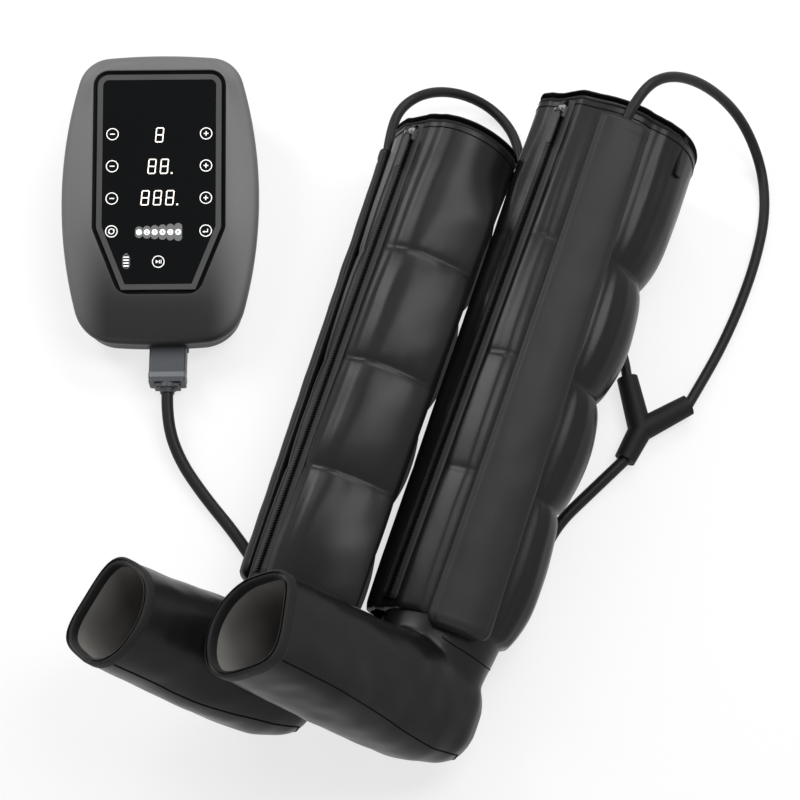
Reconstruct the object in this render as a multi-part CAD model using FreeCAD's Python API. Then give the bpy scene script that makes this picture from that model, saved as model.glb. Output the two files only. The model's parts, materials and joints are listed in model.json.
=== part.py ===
import FreeCAD, Part
import math
import os

# Compression therapy pump with its hose, Y splitter and a pair of zip-up leg boots.
# Millimetres, +Z up, origin at the centre of the pump's base on the floor.
# The boots lie on their backs along +Y with their toes up.

V = FreeCAD.Vector

# ---------------------------------------------------------------- pump housing
housing_width = 207.0
housing_length = 310.0
side_bow_radius = 470.0
end_bow_radius = 640.0
top_corner_radius = 38.0
bottom_corner_radius = 48.0
face_height = 84.0          # middle of the face above the floor
face_tilt = 12.0            # the face slopes down towards the hose end
pump_turn = 19.5            # the pump is turned about the upright
front_depth = 18.0          # face to the parting plane
rim_drop = 8.0              # height of the four soft facets
rim_round = 4.0
wall = 2.5
floor_wall = 3.0
foot_height = 4.0
foot_thickness = 5.0
foot_radius = 8.0
foot_x = 50.0
foot_y = 118.0
base_inset = 12.0
base_round_height = 12.0
base_round_inset = 6.0
base_shift = 4.0            # the base sits back from the hose end

# ---------------------------------------------------------------- display and keys
glass_width = 118.0
glass_top = 125.0           # above the middle of the face
glass_bottom = 93.0         # below it
glass_chamfer_start = 32.0  # below it, where the lower corners are cut
glass_foot_width = 69.0
glass_corner = 6.0
glass_sink = 0.8
glass_thickness = 3.2
bezel_width = 6.0
bezel_gap = 0.3
groove_width = 4.5
pocket_floor = 2.5
glass_ledge = 3.0
key_column = 49.0
key_rows = {"mode": 67.0, "time": 32.5, "pressure": -2.0}
lower_key_row = -37.0
play_key_row = -69.5
key_radius = 6.8
key_clearance = 0.25
key_cap_height = 2.6
key_stem_radius = 2.6
key_travel = 0.5
board_thickness = 1.6
board_depth = 12.4          # face to the top of the display board
board_margin = 4.0
post_inset = 2.5            # posts stand this far inside the board's edge
switch_size = 6.0
switch_gap = 0.2
post_radius = 2.2

# ---------------------------------------------------------------- inside the pump
boss_x = 72.0
boss_y = 102.0
boss_radius = 5.5
screw_radius = 1.5
screw_head_radius = 3.4
screw_head_height = 3.0
screw_seat = 6.0
screw_reach = 9.0
battery_size = (62.0, 70.0, 21.0)
battery_corner = (-80.0, -62.0)
main_board_size = (80.0, 88.0)
main_board_corner = (-6.0, -62.0)
standoff_height = 5.0
mount_radius = 5.0
mount_height = 5.0
frame_thickness = 2.0
frame_size = (104.0, 52.0)
compressor_y = housing_length / 2 - 69.0
motor_radius = 18.0
motor_length = 54.0
motor_end = -6.0
saddle_height = 2.0
saddle_clearance = 0.1
head_size = (34.0, 42.0, 42.0)
head_wall = 4.0
crank_radius = 9.0
crank_offset = 3.0
crank_width = 8.0
crank_room = 15.0
shaft_radius = 2.5
shaft_clearance = 0.08
manifold_length = 60.0
manifold_depth = 16.0
manifold_height = 22.0
manifold_front = -92.0
valve_count = 6
valve_pitch = 9.6
valve_radius = 4.4
valve_height = 15.0
tube_pitch = 5.4
tube_radius = 2.4
feed_radius = 3.0

# ---------------------------------------------------------------- hose socket, plug, jack
socket_x = 8.0
socket_height = 20.0
socket_sink = 9.0           # the socket lies back from the end of the housing
socket_size = (40.0, 24.0, 24.0)
socket_clearance = 0.2
plug_room = (34.0, 13.0, 18.0)
plug_size = (38.0, 40.0, 22.0)
plug_clearance = 0.5
plug_edge = 3.0
collar_radius = 11.5
collar_length = 5.0
relief_start_radius = 8.6
relief_end_radius = 7.2
relief_length = 5.0
jack_x = 55.0
jack_height = 22.0
jack_bore = 2.85
jack_radius = 5.5
jack_depth = 10.0

# ---------------------------------------------------------------- hoses
trunk_radius = 6.2
branch_radius = 5.5
splitter_radius = 12.5
splitter_end_radius = 11.0
splitter_stem_end = V(543, -94, splitter_radius)
splitter_middle = V(549, -58, splitter_radius)
splitter_left_end = V(519.5, -7, splitter_radius)
splitter_right_end = V(588, -15, splitter_radius)
trunk_points = [
    V(83, -210, 17), V(108, -242, 9), V(146, -270, 6.3), V(190, -297, 6.3), V(227, -325, 6.3),
    V(264, -348, 6.3), V(312, -356, 6.3), V(366, -346, 6.3), V(418, -324, 6.3), V(455, -306, 6.3),
    V(482, -270, 6.3), V(492, -226, 6.3), V(497, -182, 6.3), V(521, -136, 9),
]
left_branch_points = [
    V(444, 232, 177), V(466, 268, 160), V(504, 296, 112), V(548, 306, 52), V(586, 280, 10),
    V(606, 228, 5.6), V(611, 170, 5.6), V(609, 112, 5.6), V(603, 60, 5.6), V(595, 18, 9),
]
right_branch_points = [
    V(203, 150, 76), V(202, 184, 75), V(220, 218, 62), V(250, 244, 34), V(288, 250, 10),
    V(324, 226, 5.6), V(344, 180, 5.6), V(351, 126, 5.6), V(377, 80, 5.6), V(421, 62.5, 5.6),
    V(467, 60, 5.6), V(502, 33, 8),
]

# ---------------------------------------------------------------- leg boots
ankle_axis_height = 61.0
thigh_axis_height = 86.0
toe_lean = 45.0             # toes lean over towards the pump
leg_top = 690.0             # measured from the sole
leg_bottom = 140.0
chamber_seams = [140.0, 285.0, 408.0, 538.0]
chamber_swell = 12.0
seam_draw = 5.0
pillow_power = 0.7
pillow_stations = [0.0, 0.1, 0.3, 0.7, 0.9]
rim_swell = 3.0
sleeve_wall = 9.0
ring_stations = [
    (35, 0.0), (59, 0.0), (80, 0.0), (98, 0.0), (109, 0.75), (130, 1.0), (160, 1.0),
    (195, 1.0), (222, 1.0), (250, 1.0),
]                           # angle round the leg, share of the chambers' swell there
roll_stations = [(-45, 1.0), (-33, 0.75)]   # the same, measured from the zip
seat_half_width = 15.0      # flat seat under the zip
seat_crown = 0.3
foot_sections = [
    (-56, 60, 22, 20), (-48, 62, 39.5, 38), (-30, 66, 49, 50), (0, 65, 52, 57),
    (50, 61, 52, 57), (120, 55.5, 52, 53.5), (219, 50, 52, 49),
]                           # along the foot, height of the middle, half width, half height
foot_wall = 8.0
foot_corner_power = 2.5
foot_ring_points = 16
ankle_start = 60.0
ankle_taper = 8.0           # the ankle draws in towards the heel
binding_height = 7.0
binding_lip = 1.5
toe_binding_length = 9.0
cover_width_top = 50.0
cover_width_bottom = 60.0
cover_thickness = 12.0
cover_wall = 2.5
cover_gap = 1.4
cover_angle_top = 54.0
cover_angle_bottom = 60.0
cover_top = 672.0
cover_end_wall = 6.0
air_line_radius = 4.3
air_line_stand = 6.3        # from the leg to the middle of the air line
air_line_reach = 3.0        # past the upper end of the cover
tape_width = 22.0
tape_thickness = 1.4
track_gap = 0.6
teeth_width = 6.0
teeth_height = 2.2
track_top = 686.0
slider_top = 672.0
slider_size = (10.0, 13.0, 4.7)
slider_gap = 0.3
slot_clearance = 0.4
lug_width = 1.6
lug_height = 4.4
eye_width = 6.0
eye_radius = 2.1
pin_radius = 0.9
pin_clearance = 0.08
pin_height = 2.4
tab_width = 8.0
tab_length = 38.0
tab_thickness = 1.4
pull_angle = 105.0
pull_width = 8.0
pull_thickness = 2.5
pull_bottom = 650.0
pull_stand = (10.3, 4.1)
left_boot = {"side": 1, "x": 426.0, "sole": -476.0, "ankle": (64.0, 52.0), "thigh": (83.0, 78.0),
             "stretch": 1.0, "foot": 1.0, "zip": (-24.0, 7.0), "zip_bottom": 148.0, "cover_bottom": 130.0}
right_boot = {"side": -1, "x": 278.0, "sole": -500.5, "ankle": (47.0, 52.0), "thigh": (64.0, 78.0),
              "stretch": 0.925, "foot": 0.85, "zip": (0.0, -14.0), "zip_bottom": 164.0,
              "cover_bottom": 160.0}
press_plane = 345.0         # the two soft legs press flat against each other here
press_gap = 0.3
channel_side = 3.5          # room beside the trunk hose, under the legs
channel_top = 1.0           # and above it

floor_size = 3000.0
small = 0.5


# ---------------------------------------------------------------- helpers
def save(shape, node):
    shape.exportStep("parts/" + node + ".step")
    print(node, "solids", len(shape.Solids), "volume", round(shape.Volume), "valid", shape.isValid())


def box(corner, size):
    return Part.makeBox(size[0], size[1], size[2], V(*corner))


def middle_box(middle, size):
    return box((middle[0] - size[0] / 2, middle[1] - size[1] / 2, middle[2] - size[2] / 2), size)


def rounded_box(corner, size, radius):
    solid = box(corner, size)
    return solid.makeFillet(radius, solid.Edges)


def cylinder(radius, length, start, direction=V(0, 0, 1)):
    return Part.makeCylinder(radius, length, start, direction)


def fuse(shapes):
    return shapes[0].multiFuse(shapes[1:]).removeSplitter()


def turned_pump(shape):
    moved = shape.copy()
    moved.rotate(V(0, 0, 0), V(0, 0, 1), pump_turn)
    return moved


def on_face(shape):
    """Move a shape drawn about the face's own middle onto the sloping face."""
    moved = shape.copy()
    moved.rotate(V(0, 0, 0), V(1, 0, 0), face_tilt)
    moved.translate(V(0, 0, face_height))
    return moved


def face_level(y, depth):
    """Height above the floor of a plane that lies this deep under the face."""
    slope = math.radians(face_tilt)
    return face_height + y * math.tan(slope) - depth / math.cos(slope)


# ---------------------------------------------------------------- housing outlines
def corner_points(half_width, half_length, radius, inset):
    """Tangent points and middle of the round corner between a side bow and an end bow."""
    side_middle = V(half_width - (side_bow_radius - inset), 0, 0)
    end_middle = V(0, half_length - (end_bow_radius - inset), 0)
    side_reach = side_bow_radius - inset - radius
    end_reach = end_bow_radius - inset - radius
    between = end_middle - side_middle
    distance = between.Length
    along = (side_reach ** 2 - end_reach ** 2 + distance ** 2) / (2 * distance)
    aside = math.sqrt(side_reach ** 2 - along ** 2)
    unit = between / distance
    centre = side_middle + unit * along + V(-unit.y, unit.x, 0) * aside
    to_side = (centre - side_middle).normalize()
    to_end = (centre - end_middle).normalize()
    bisector = (to_side + to_end).normalize()
    return centre + to_end * radius, centre + bisector * radius, centre + to_side * radius


def barrel_wire(inset, level):
    """The housing's outline: bowed sides and ends with round corners, eight edges."""
    half_width = housing_width / 2 - inset
    half_length = housing_length / 2 - inset
    upper = corner_points(half_width, half_length, top_corner_radius - inset, inset)
    lower = corner_points(half_width, half_length, bottom_corner_radius - inset, inset)

    def at(point, sign_x, sign_y):
        return V(sign_x * point.x, sign_y * point.y, level)

    corners = [
        [at(p, 1, 1) for p in upper],
        [at(p, 1, -1) for p in reversed(lower)],
        [at(p, -1, -1) for p in lower],
        [at(p, -1, 1) for p in reversed(upper)],
    ]
    bows = [V(half_width, 0, level), V(0, -half_length, level),
            V(-half_width, 0, level), V(0, half_length, level)]
    edges = []
    for index, corner in enumerate(corners):
        following = corners[(index + 1) % len(corners)]
        edges.append(Part.Arc(*corner).toShape())
        edges.append(Part.Arc(corner[2], bows[index], following[0]).toShape())
    return Part.Wire(edges)


def offset_polygon(points, distance):
    """Move every side of a clockwise convex polygon outwards and join them again."""
    moved = []
    for index, point in enumerate(points):
        before = points[index - 1]
        after = points[(index + 1) % len(points)]
        first = (point - before).normalize()
        second = (after - point).normalize()
        first_out = V(-first.y, first.x, 0)
        second_out = V(-second.y, second.x, 0)
        moved.append(point + (first_out + second_out) * (distance / (1 + first_out.dot(second_out))))
    return moved


def panel_wire(outset, level):
    """The display's outline: round upper corners, long cut lower corners, eight edges."""
    half = glass_width / 2
    foot = glass_foot_width / 2
    shape = [V(half, glass_top, 0), V(half, -glass_chamfer_start, 0), V(foot, -glass_bottom, 0),
             V(-foot, -glass_bottom, 0), V(-half, -glass_chamfer_start, 0), V(-half, glass_top, 0)]
    points = [V(p.x, p.y, level) for p in offset_polygon(shape, outset)]
    radius = max(glass_corner + outset, 1.0)
    bulge = radius * (1 - math.sqrt(0.5))
    right, left = points[0], points[5]
    right_top, right_side = right - V(radius, 0, 0), right - V(0, radius, 0)
    left_top, left_side = left + V(radius, 0, 0), left - V(0, radius, 0)
    edges = [Part.Arc(right_top, right - V(bulge, bulge, 0), right_side).toShape()]
    corners = [right_side] + points[1:5] + [left_side]
    edges += [Part.LineSegment(a, b).toShape() for a, b in zip(corners, corners[1:])]
    edges.append(Part.Arc(left_side, left + V(bulge, -bulge, 0), left_top).toShape())
    edges.append(Part.LineSegment(left_top, right_top).toShape())
    return Part.Wire(edges)


def panel_block(outset, top, bottom):
    return Part.Face(panel_wire(outset, bottom)).extrude(V(0, 0, top - bottom))


# ---------------------------------------------------------------- housing
def front_cover():
    rim = bezel_width + groove_width
    pocket = glass_sink + glass_thickness
    under = pocket + pocket_floor
    outer = Part.makeLoft([
        barrel_wire(0, -front_depth), barrel_wire(0, -rim_drop - rim_round),
        barrel_wire(rim_round / 3, -rim_drop - rim_round / 3),
        barrel_wire(rim_round * 1.6, -rim_drop + rim_round / 3),
        panel_wire(rim, 0)], True, True)
    inner = Part.makeLoft([
        barrel_wire(wall, -front_depth), barrel_wire(wall, -rim_drop - rim_round - wall),
        panel_wire(rim - wall, -under)], True, True)
    shell = outer.cut(inner)
    shell = shell.cut(panel_block(rim - 0.01, small, -pocket))
    shell = shell.cut(panel_block(-glass_ledge, 0, -under - small))
    posts = [cylinder(post_radius, board_depth - under + small, V(x, y, -board_depth))
             for x in (-board_post_x(), board_post_x()) for y in (-20.0, 100.0)]
    shell = on_face(fuse([shell] + posts))
    inside = on_face(inner)
    for x, y in boss_places():
        boss = cylinder(boss_radius, face_height, V(x, y, face_level(y, front_depth))).common(inside)
        pilot = cylinder(screw_radius, screw_reach + small, V(x, y, face_level(y, front_depth) - small))
        shell = shell.fuse(boss).cut(pilot)
    return shell.removeSplitter()


def board_post_x():
    return glass_width / 2 + board_margin - post_inset


def boss_places():
    return [(x, y) for x in (-boss_x, boss_x) for y in (-boss_y, boss_y)]


def rear_shape(inset, bottom):
    parting = on_face(barrel_wire(inset, -front_depth))
    shoulder = barrel_wire(base_round_inset + inset, foot_height + base_round_height)
    base = barrel_wire(base_inset + inset, bottom)
    for wire in (shoulder, base):
        wire.translate(V(0, base_shift, 0))
    return Part.makeLoft([parting, shoulder, base], True, True)


def rear_cover():
    inner = rear_shape(wall, foot_height + floor_wall)
    shell = rear_shape(0, foot_height).cut(inner)
    for x, y in boss_places():
        seat = face_level(y, front_depth) - screw_seat
        boss = cylinder(boss_radius, face_height * 2, V(x, y, foot_height)).common(inner)
        shell = shell.fuse(boss)
        shell = shell.cut(cylinder(screw_head_radius + 0.2, seat, V(x, y, 0)))
        shell = shell.cut(cylinder(screw_radius + 0.2, face_height * 2, V(x, y, 0)))
    for x, y in foot_places():
        shell = shell.cut(cylinder(foot_radius, foot_thickness, V(x, y, 0)))
    for x, y in standoff_places():
        shell = shell.fuse(cylinder(2.5, standoff_height + small, V(x, y, foot_height + floor_wall - small)))
    width, length, height = [size + 2 * socket_clearance for size in socket_size]
    mouth = middle_box((socket_x, socket_middle() - socket_sink, socket_height),
                       (width, length + 2 * socket_sink, height))
    shell = shell.cut(mouth)
    jack_back = V(jack_x, jack_end() - 2 * jack_depth, jack_height)
    shell = shell.cut(cylinder(jack_radius + socket_clearance, 3 * jack_depth, jack_back, V(0, 1, 0)))
    return shell.removeSplitter()


def foot_places():
    return [(x, y) for x in (-foot_x, foot_x) for y in (-foot_y, foot_y)]


def standoff_places():
    x, y = main_board_corner
    width, length = main_board_size
    return [(x + a, y + b) for a in (5.0, width - 5.0) for b in (5.0, length - 5.0)]


def inner_floor():
    return foot_height + floor_wall


def rubber_feet():
    return Part.makeCompound([cylinder(foot_radius, foot_thickness, V(x, y, 0)) for x, y in foot_places()])


def cover_screws():
    screws = []
    for x, y in boss_places():
        seat = face_level(y, front_depth) - screw_seat
        head = cylinder(screw_head_radius, screw_head_height, V(x, y, seat - screw_head_height))
        slot = middle_box((x, y, seat - screw_head_height), (5.0, 1.0, 2.4))
        shank = cylinder(screw_radius, screw_seat + screw_reach, V(x, y, seat))
        screws.append(head.cut(slot).fuse(shank))
    return Part.makeCompound(screws)


# ---------------------------------------------------------------- display and keys
def key_places():
    places = {}
    for name, y in key_rows.items():
        places["key_" + name + "_minus"] = (-key_column, y)
        places["key_" + name + "_plus"] = (key_column, y)
    places["key_position"] = (-key_column, lower_key_row)
    places["key_confirm"] = (key_column, lower_key_row)
    places["key_play_pause"] = (0.0, play_key_row)
    return places


def display_glass():
    glass = panel_block(0, -glass_sink, -glass_sink - glass_thickness)
    for x, y in key_places().values():
        glass = glass.cut(cylinder(key_radius + key_clearance, 20, V(x, y, -10)))
    return on_face(glass)


def display_bezel():
    bottom = -glass_sink - glass_thickness
    ring = panel_block(bezel_width, -small / 2, bottom)
    return on_face(ring.cut(panel_block(bezel_gap, small, bottom - small)))


def key_cap(x, y):
    top = -glass_sink
    cap = cylinder(key_radius, key_cap_height, V(x, y, top - key_cap_height))
    cap = cap.makeFillet(0.4, [edge for edge in cap.Edges if edge.BoundBox.ZMin > top - 0.01])
    switch_top = -board_depth + switch_height()
    stem_end = switch_top + key_travel + switch_gap
    stem = cylinder(key_stem_radius, top - key_cap_height - stem_end, V(x, y, stem_end))
    return on_face(cap.fuse(stem).removeSplitter())


def switch_height():
    return 2.0


def key_switches():
    switches = []
    for x, y in key_places().values():
        middle = (x, y, -board_depth + switch_height() / 2)
        switches.append(middle_box(middle, (switch_size, switch_size, switch_height())))
    return on_face(Part.makeCompound(switches))


def display_board():
    return on_face(panel_block(board_margin, -board_depth, -board_depth - board_thickness))


def display_modules():
    bottom = -board_depth
    height = board_depth - glass_sink - glass_thickness - small
    sizes = [(0, 62, 16, 22), (0, 30, 30, 22), (0, -2, 44, 22), (0, -34.5, 54, 20), (-31.5, -64, 12, 18)]
    blocks = [box((x - w / 2, y - h / 2, bottom), (w, h, height)) for x, y, w, h in sizes]
    return on_face(Part.makeCompound(blocks))


# ---------------------------------------------------------------- inside the pump
def battery_pack():
    x, y = battery_corner
    return rounded_box((x, y, inner_floor()), battery_size, 3.0)


def main_board():
    x, y = main_board_corner
    width, length = main_board_size
    level = inner_floor() + standoff_height
    top = level + board_thickness
    parts = [box((x, y, level), (width, length, board_thickness))]
    parts.append(box((x + 12, y + 10, top - small), (18, 12, 6)))
    parts.append(box((x + 42, y + 14, top - small), (14, 14, 2.5)))
    parts.append(box((x + 14, y + 50, top - small), (30, 8, 8)))
    parts.append(cylinder(5, 10, V(x + 62, y + 60, top - small)))
    parts.append(cylinder(5, 10, V(x + 62, y + 46, top - small)))
    return fuse(parts)


def frame_level():
    return inner_floor() + mount_height + frame_thickness


def motor_level():
    return frame_level() + saddle_height + motor_radius


def compressor_frame():
    length, width = frame_size
    x = motor_end - motor_length - 4
    y = compressor_y - width / 2
    level = inner_floor() + mount_height
    parts = [box((x, y, level), (length, width, frame_thickness))]
    for rib in (x + 12, x + 44):
        parts.append(box((rib, y + 8, level + small), (4, width - 16, motor_radius)))
    frame = fuse(parts)
    room_radius = motor_radius + saddle_clearance
    can = cylinder(room_radius, motor_length + 10, V(x - 2, compressor_y, motor_level()), V(1, 0, 0))
    return frame.cut(can)


def compressor_mounts():
    length, width = frame_size
    x = motor_end - motor_length - 4
    places = [(x + a, compressor_y + b) for a in (7, length - 7) for b in (7 - width / 2, width / 2 - 7)]
    mounts = [cylinder(mount_radius, mount_height, V(a, b, inner_floor())) for a, b in places]
    return Part.makeCompound(mounts)


def compressor_motor():
    start = V(motor_end - motor_length, compressor_y, motor_level())
    can = cylinder(motor_radius, motor_length, start, V(1, 0, 0))
    can = can.makeFillet(2.0, [edge for edge in can.Edges if len(edge.Vertexes) == 1])
    tail = cylinder(6, 4 + small, start - V(4, 0, 0), V(1, 0, 0))
    return can.fuse(tail).removeSplitter()


def pump_head():
    length, width, height = head_size
    corner = (motor_end, compressor_y - width / 2, frame_level())
    head = box(corner, head_size)
    upper_edges = [e for e in head.Edges if abs(e.tangentAt(0).x) > 0.9 and e.BoundBox.ZMin > 40]
    head = head.makeFillet(3.0, upper_edges)
    axis = V(motor_end, compressor_y, motor_level())
    head = head.cut(cylinder(crank_room, length, axis + V(head_wall, 0, 0), V(1, 0, 0)))
    head = head.cut(cylinder(shaft_radius + shaft_clearance, length, axis - V(1, 0, 0), V(1, 0, 0)))
    boss = cylinder(feed_radius + 1, 4 + small, feed_start() + V(0, 4 + small, 0), V(0, -1, 0))
    return head.fuse(boss).removeSplitter()


def head_cover():
    length, width, height = head_size
    plate = box((motor_end + length, compressor_y - width / 2, frame_level()), (3.0, width, height))
    return plate.makeFillet(1.0, [e for e in plate.Edges if e.BoundBox.XMin > motor_end + length + 2.9])


def drive_shaft():
    axis = V(motor_end, compressor_y, motor_level())
    room = head_size[0] - head_wall
    shaft = cylinder(shaft_radius, head_wall + room - 2, axis + V(0.3, 0, 0), V(1, 0, 0))
    crank = cylinder(crank_radius, crank_width, axis + V(head_wall + 8, 0, crank_offset), V(1, 0, 0))
    weight = cylinder(crank_radius + crank_offset, 4, axis + V(head_wall + 3, 0, 0), V(1, 0, 0))
    half = box((axis.x, axis.y - 20, axis.z - 1), (40, 40, 30))
    return fuse([shaft, crank, weight.cut(half)])


def manifold_start():
    return socket_x - manifold_length / 2


def valve_manifold():
    corner = (manifold_start(), manifold_front, inner_floor())
    block = box(corner, (manifold_length, manifold_depth, manifold_height))
    return block.makeChamfer(1.0, [e for e in block.Edges if e.BoundBox.ZMin > inner_floor() + 1])


def solenoid_valves():
    first = socket_x - valve_pitch * (valve_count - 1) / 2
    start = V(first, manifold_front + manifold_depth / 2, inner_floor() + manifold_height)
    row = [cylinder(valve_radius, valve_height, start + V(valve_pitch * k, 0, 0)) for k in range(valve_count)]
    return Part.makeCompound(row)


def air_tubes():
    first = socket_x - tube_pitch * (valve_count - 1) / 2
    start = socket_front() + socket_size[1]
    length = manifold_front - start
    row = [cylinder(tube_radius, length, V(first + tube_pitch * k, start, socket_height), V(0, 1, 0))
           for k in range(valve_count)]
    return Part.makeCompound(row)


def feed_start():
    return V(motor_end + head_size[0] / 2, compressor_y - head_size[1] / 2 - 4, motor_level() - 4)


def feed_tube():
    end = V(manifold_start() + 12, manifold_front + manifold_depth, inner_floor() + manifold_height / 2)
    start = feed_start()
    lane = battery_corner[0] + battery_size[0] + main_board_corner[0]
    lane = lane / 2
    points = [start, start - V(0, 16, 0), V(lane, start.y - 34, start.z - 4), V(lane, 0, start.z - 8),
              V(lane, end.y + 34, end.z + 2), end + V(0, 14, 0), end]
    return hose(points, feed_radius, "feed_tube")


# ---------------------------------------------------------------- socket, plug, jack
def socket_front():
    return socket_sink - housing_length / 2


def socket_middle():
    return socket_front() + socket_size[1] / 2


def hose_socket():
    block = middle_box((socket_x, socket_middle(), socket_height), socket_size)
    room = middle_box((socket_x, socket_front() + plug_room[1] / 2, socket_height), plug_room)
    block = block.cut(room)
    return block


def hose_plug():
    back = socket_front() - plug_size[1]
    body = middle_box((socket_x, back + plug_size[1] / 2, socket_height), plug_size)
    body = body.makeFillet(plug_edge, [e for e in body.Edges if abs(e.tangentAt(0).y) > 0.9])
    tongue_size = (plug_room[0] - 2 * plug_clearance, plug_room[1] - plug_clearance,
                   plug_room[2] - 2 * plug_clearance)
    tongue = middle_box((socket_x, socket_front() + tongue_size[1] / 2 - small, socket_height), tongue_size)
    return body.fuse(tongue).removeSplitter()


def hose_collar():
    back = socket_front() - plug_size[1]
    flange = cylinder(collar_radius - 0.6, collar_length, V(socket_x, back, socket_height), V(0, -1, 0))
    relief = Part.makeCone(relief_start_radius, relief_end_radius, relief_length,
                           V(socket_x, back - collar_length, socket_height), V(0, -1, 0))
    return flange.fuse(relief).removeSplitter()


def trunk_start():
    local = V(socket_x, socket_front() - plug_size[1] - collar_length - relief_length, socket_height)
    return FreeCAD.Rotation(V(0, 0, 1), pump_turn).multVec(local)


def jack_end():
    return housing_length / 2 - base_round_inset + base_shift - 1.5


def charging_jack():
    bottom = V(jack_x, jack_end() - jack_depth, jack_height)
    body = cylinder(jack_radius, jack_depth + 6, bottom - V(0, 6, 0), V(0, 1, 0))
    return body.cut(cylinder(jack_bore, jack_depth, bottom, V(0, 1, 0)))


# ---------------------------------------------------------------- hoses
def tube_run(start, end, radius):
    return cylinder(radius, (end - start).Length, start, end - start)


def tube_bend(start, inward, outward, bend, radius):
    """A piece of torus that leaves start along inward and ends along outward."""
    axis = inward.cross(outward).normalize()
    centre = start + axis.cross(inward) * bend
    disc = Part.Face(Part.Wire(Part.Circle(start, inward, radius).toShape()))
    return disc.revolve(centre, axis, math.degrees(inward.getAngle(outward)))


def hose(points, radius, name):
    """A tube along straight runs joined by tangent arcs, each as large as its runs allow."""
    pieces = []
    radii = []
    length = 0.0
    last = points[0]
    for before, corner, after in zip(points, points[1:], points[2:]):
        inward = (corner - before).normalize()
        outward = (after - corner).normalize()
        turn = inward.getAngle(outward)
        trim = 0.45 * min((corner - before).Length, (after - corner).Length)
        start = corner - inward * trim
        bend = trim / math.tan(turn / 2)
        pieces.append(tube_run(last, start, radius))
        pieces.append(tube_bend(start, inward, outward, bend, radius))
        radii.append(round(bend))
        length += (start - last).Length + bend * turn
        last = corner + outward * trim
    pieces.append(tube_run(last, points[-1], radius))
    length += (points[-1] - last).Length
    tube = pieces[0].multiFuse(pieces[1:])
    expected = math.pi * radius ** 2 * length
    print(name, "length", round(length), "radii", radii, "volume ratio", round(tube.Volume / expected, 4))
    return tube


def y_splitter():
    arms = []
    for end in (splitter_stem_end, splitter_left_end, splitter_right_end):
        way = end - splitter_middle
        arms.append(Part.makeCone(splitter_radius, splitter_end_radius, way.Length, splitter_middle, way))
    return fuse(arms + [Part.makeSphere(splitter_radius, splitter_middle)])


# ---------------------------------------------------------------- boot geometry
def toward(angle):
    """Unit vector in the cross section, measured from upright towards the pump."""
    turn = math.radians(angle)
    return V(-math.sin(turn), 0, math.cos(turn))


def world_angle(boot, around):
    """Angle round the leg, from the toes towards the outside, as an angle from upright."""
    return toe_lean - boot["side"] * around


def leg_size(boot, u):
    share = max(0.0, (u - leg_bottom) / (leg_top - leg_bottom))
    return [a + (b - a) * share for a, b in zip(boot["ankle"], boot["thigh"])]


def base_radius(boot, u, angle):
    half_width, half_height = leg_size(boot, u)
    turn = math.radians(angle)
    return 1 / math.hypot(math.sin(turn) / half_width, math.cos(turn) / half_height)


def axis_point(boot, u):
    """Middle of the leg at a station measured from the sole of an unbunched boot."""
    share = max(0.0, (u - leg_bottom) / (leg_top - leg_bottom))
    height = ankle_axis_height + (thigh_axis_height - ankle_axis_height) * share
    return V(boot["x"], boot["sole"] + u * boot["stretch"], height)


def leg_point(boot, u, around, stand):
    angle = world_angle(boot, around)
    return axis_point(boot, u) + toward(angle) * (base_radius(boot, u, angle) + stand)


def closed_arcs(points):
    """A closed wire of arcs, each through three points that follow one another."""
    edges = []
    for index in range(0, len(points), 2):
        end = points[(index + 2) % len(points)]
        edges.append(Part.Arc(points[index], points[index + 1], end).toShape())
    return Part.Wire(edges)


def zip_seat(boot, u, inset):
    """Three points across the flat seat of the zip, in the plane of one ring."""
    origin, side, along, out = track_axes(boot, u)
    across = V(side.x, 0, side.z).normalize() * seat_half_width * boot["side"]
    out = V(out.x, 0, out.z).normalize()
    middle = origin - out * inset
    return [middle - across, middle + out * seat_crown, middle + across]


def leg_ring(boot, u, swell, inset=0.0):
    """Outline of the leg: flat under the zip and the hose cover, swollen elsewhere."""
    zip_turn = zip_angle(boot, u)
    rolls = [(360 + zip_turn + around, share) for around, share in roll_stations]
    between = [((ring_stations[-1][0] + rolls[0][0]) / 2, 1.0)]
    stations = ring_stations + between + rolls
    points = [leg_point(boot, u, around, swell * share - inset) for around, share in stations]
    return closed_arcs(zip_seat(boot, u, inset) + points)


def chamber_profile():
    """Stations along the leg: a swollen middle between each pair of drawn-in seams."""
    seams = chamber_seams + [leg_top]
    stations = []
    for low, high in zip(seams, seams[1:]):
        for place in pillow_stations:
            edge = rim_swell if high == leg_top and place > 0.5 else -seam_draw
            swell = edge + (chamber_swell - edge) * math.sin(math.pi * place) ** pillow_power
            stations.append((low + (high - low) * place, swell))
    stations.append((leg_top, rim_swell))
    return stations


def flat_under(shape):
    return shape.common(middle_box((0, 0, floor_size / 2), (floor_size, floor_size, floor_size)))


def settled(boot, shape):
    """Flatten a soft shape where it lies on the floor and where the two legs press together."""
    side = boot["side"]
    middle = press_plane + side * (press_gap + floor_size / 2)
    return shape.common(middle_box((middle, 0, floor_size / 2), (floor_size, floor_size, floor_size)))


def hose_channel():
    """Where the trunk hose dents the legs from below, from the floor up."""
    half = trunk_radius + channel_side
    height = 2 * trunk_radius + channel_top + small
    lying = [V(p.x, p.y, -small) for p in trunk_points if p.z < trunk_radius + small]
    pieces = []
    for start, end in zip(lying, lying[1:]):
        way = end - start
        run = box((0, -half, 0), (way.Length, 2 * half, height))
        run.Placement = FreeCAD.Placement(start, FreeCAD.Rotation(V(1, 0, 0), way))
        pieces += [run, cylinder(half, height, start)]
    return fuse(pieces)


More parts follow.
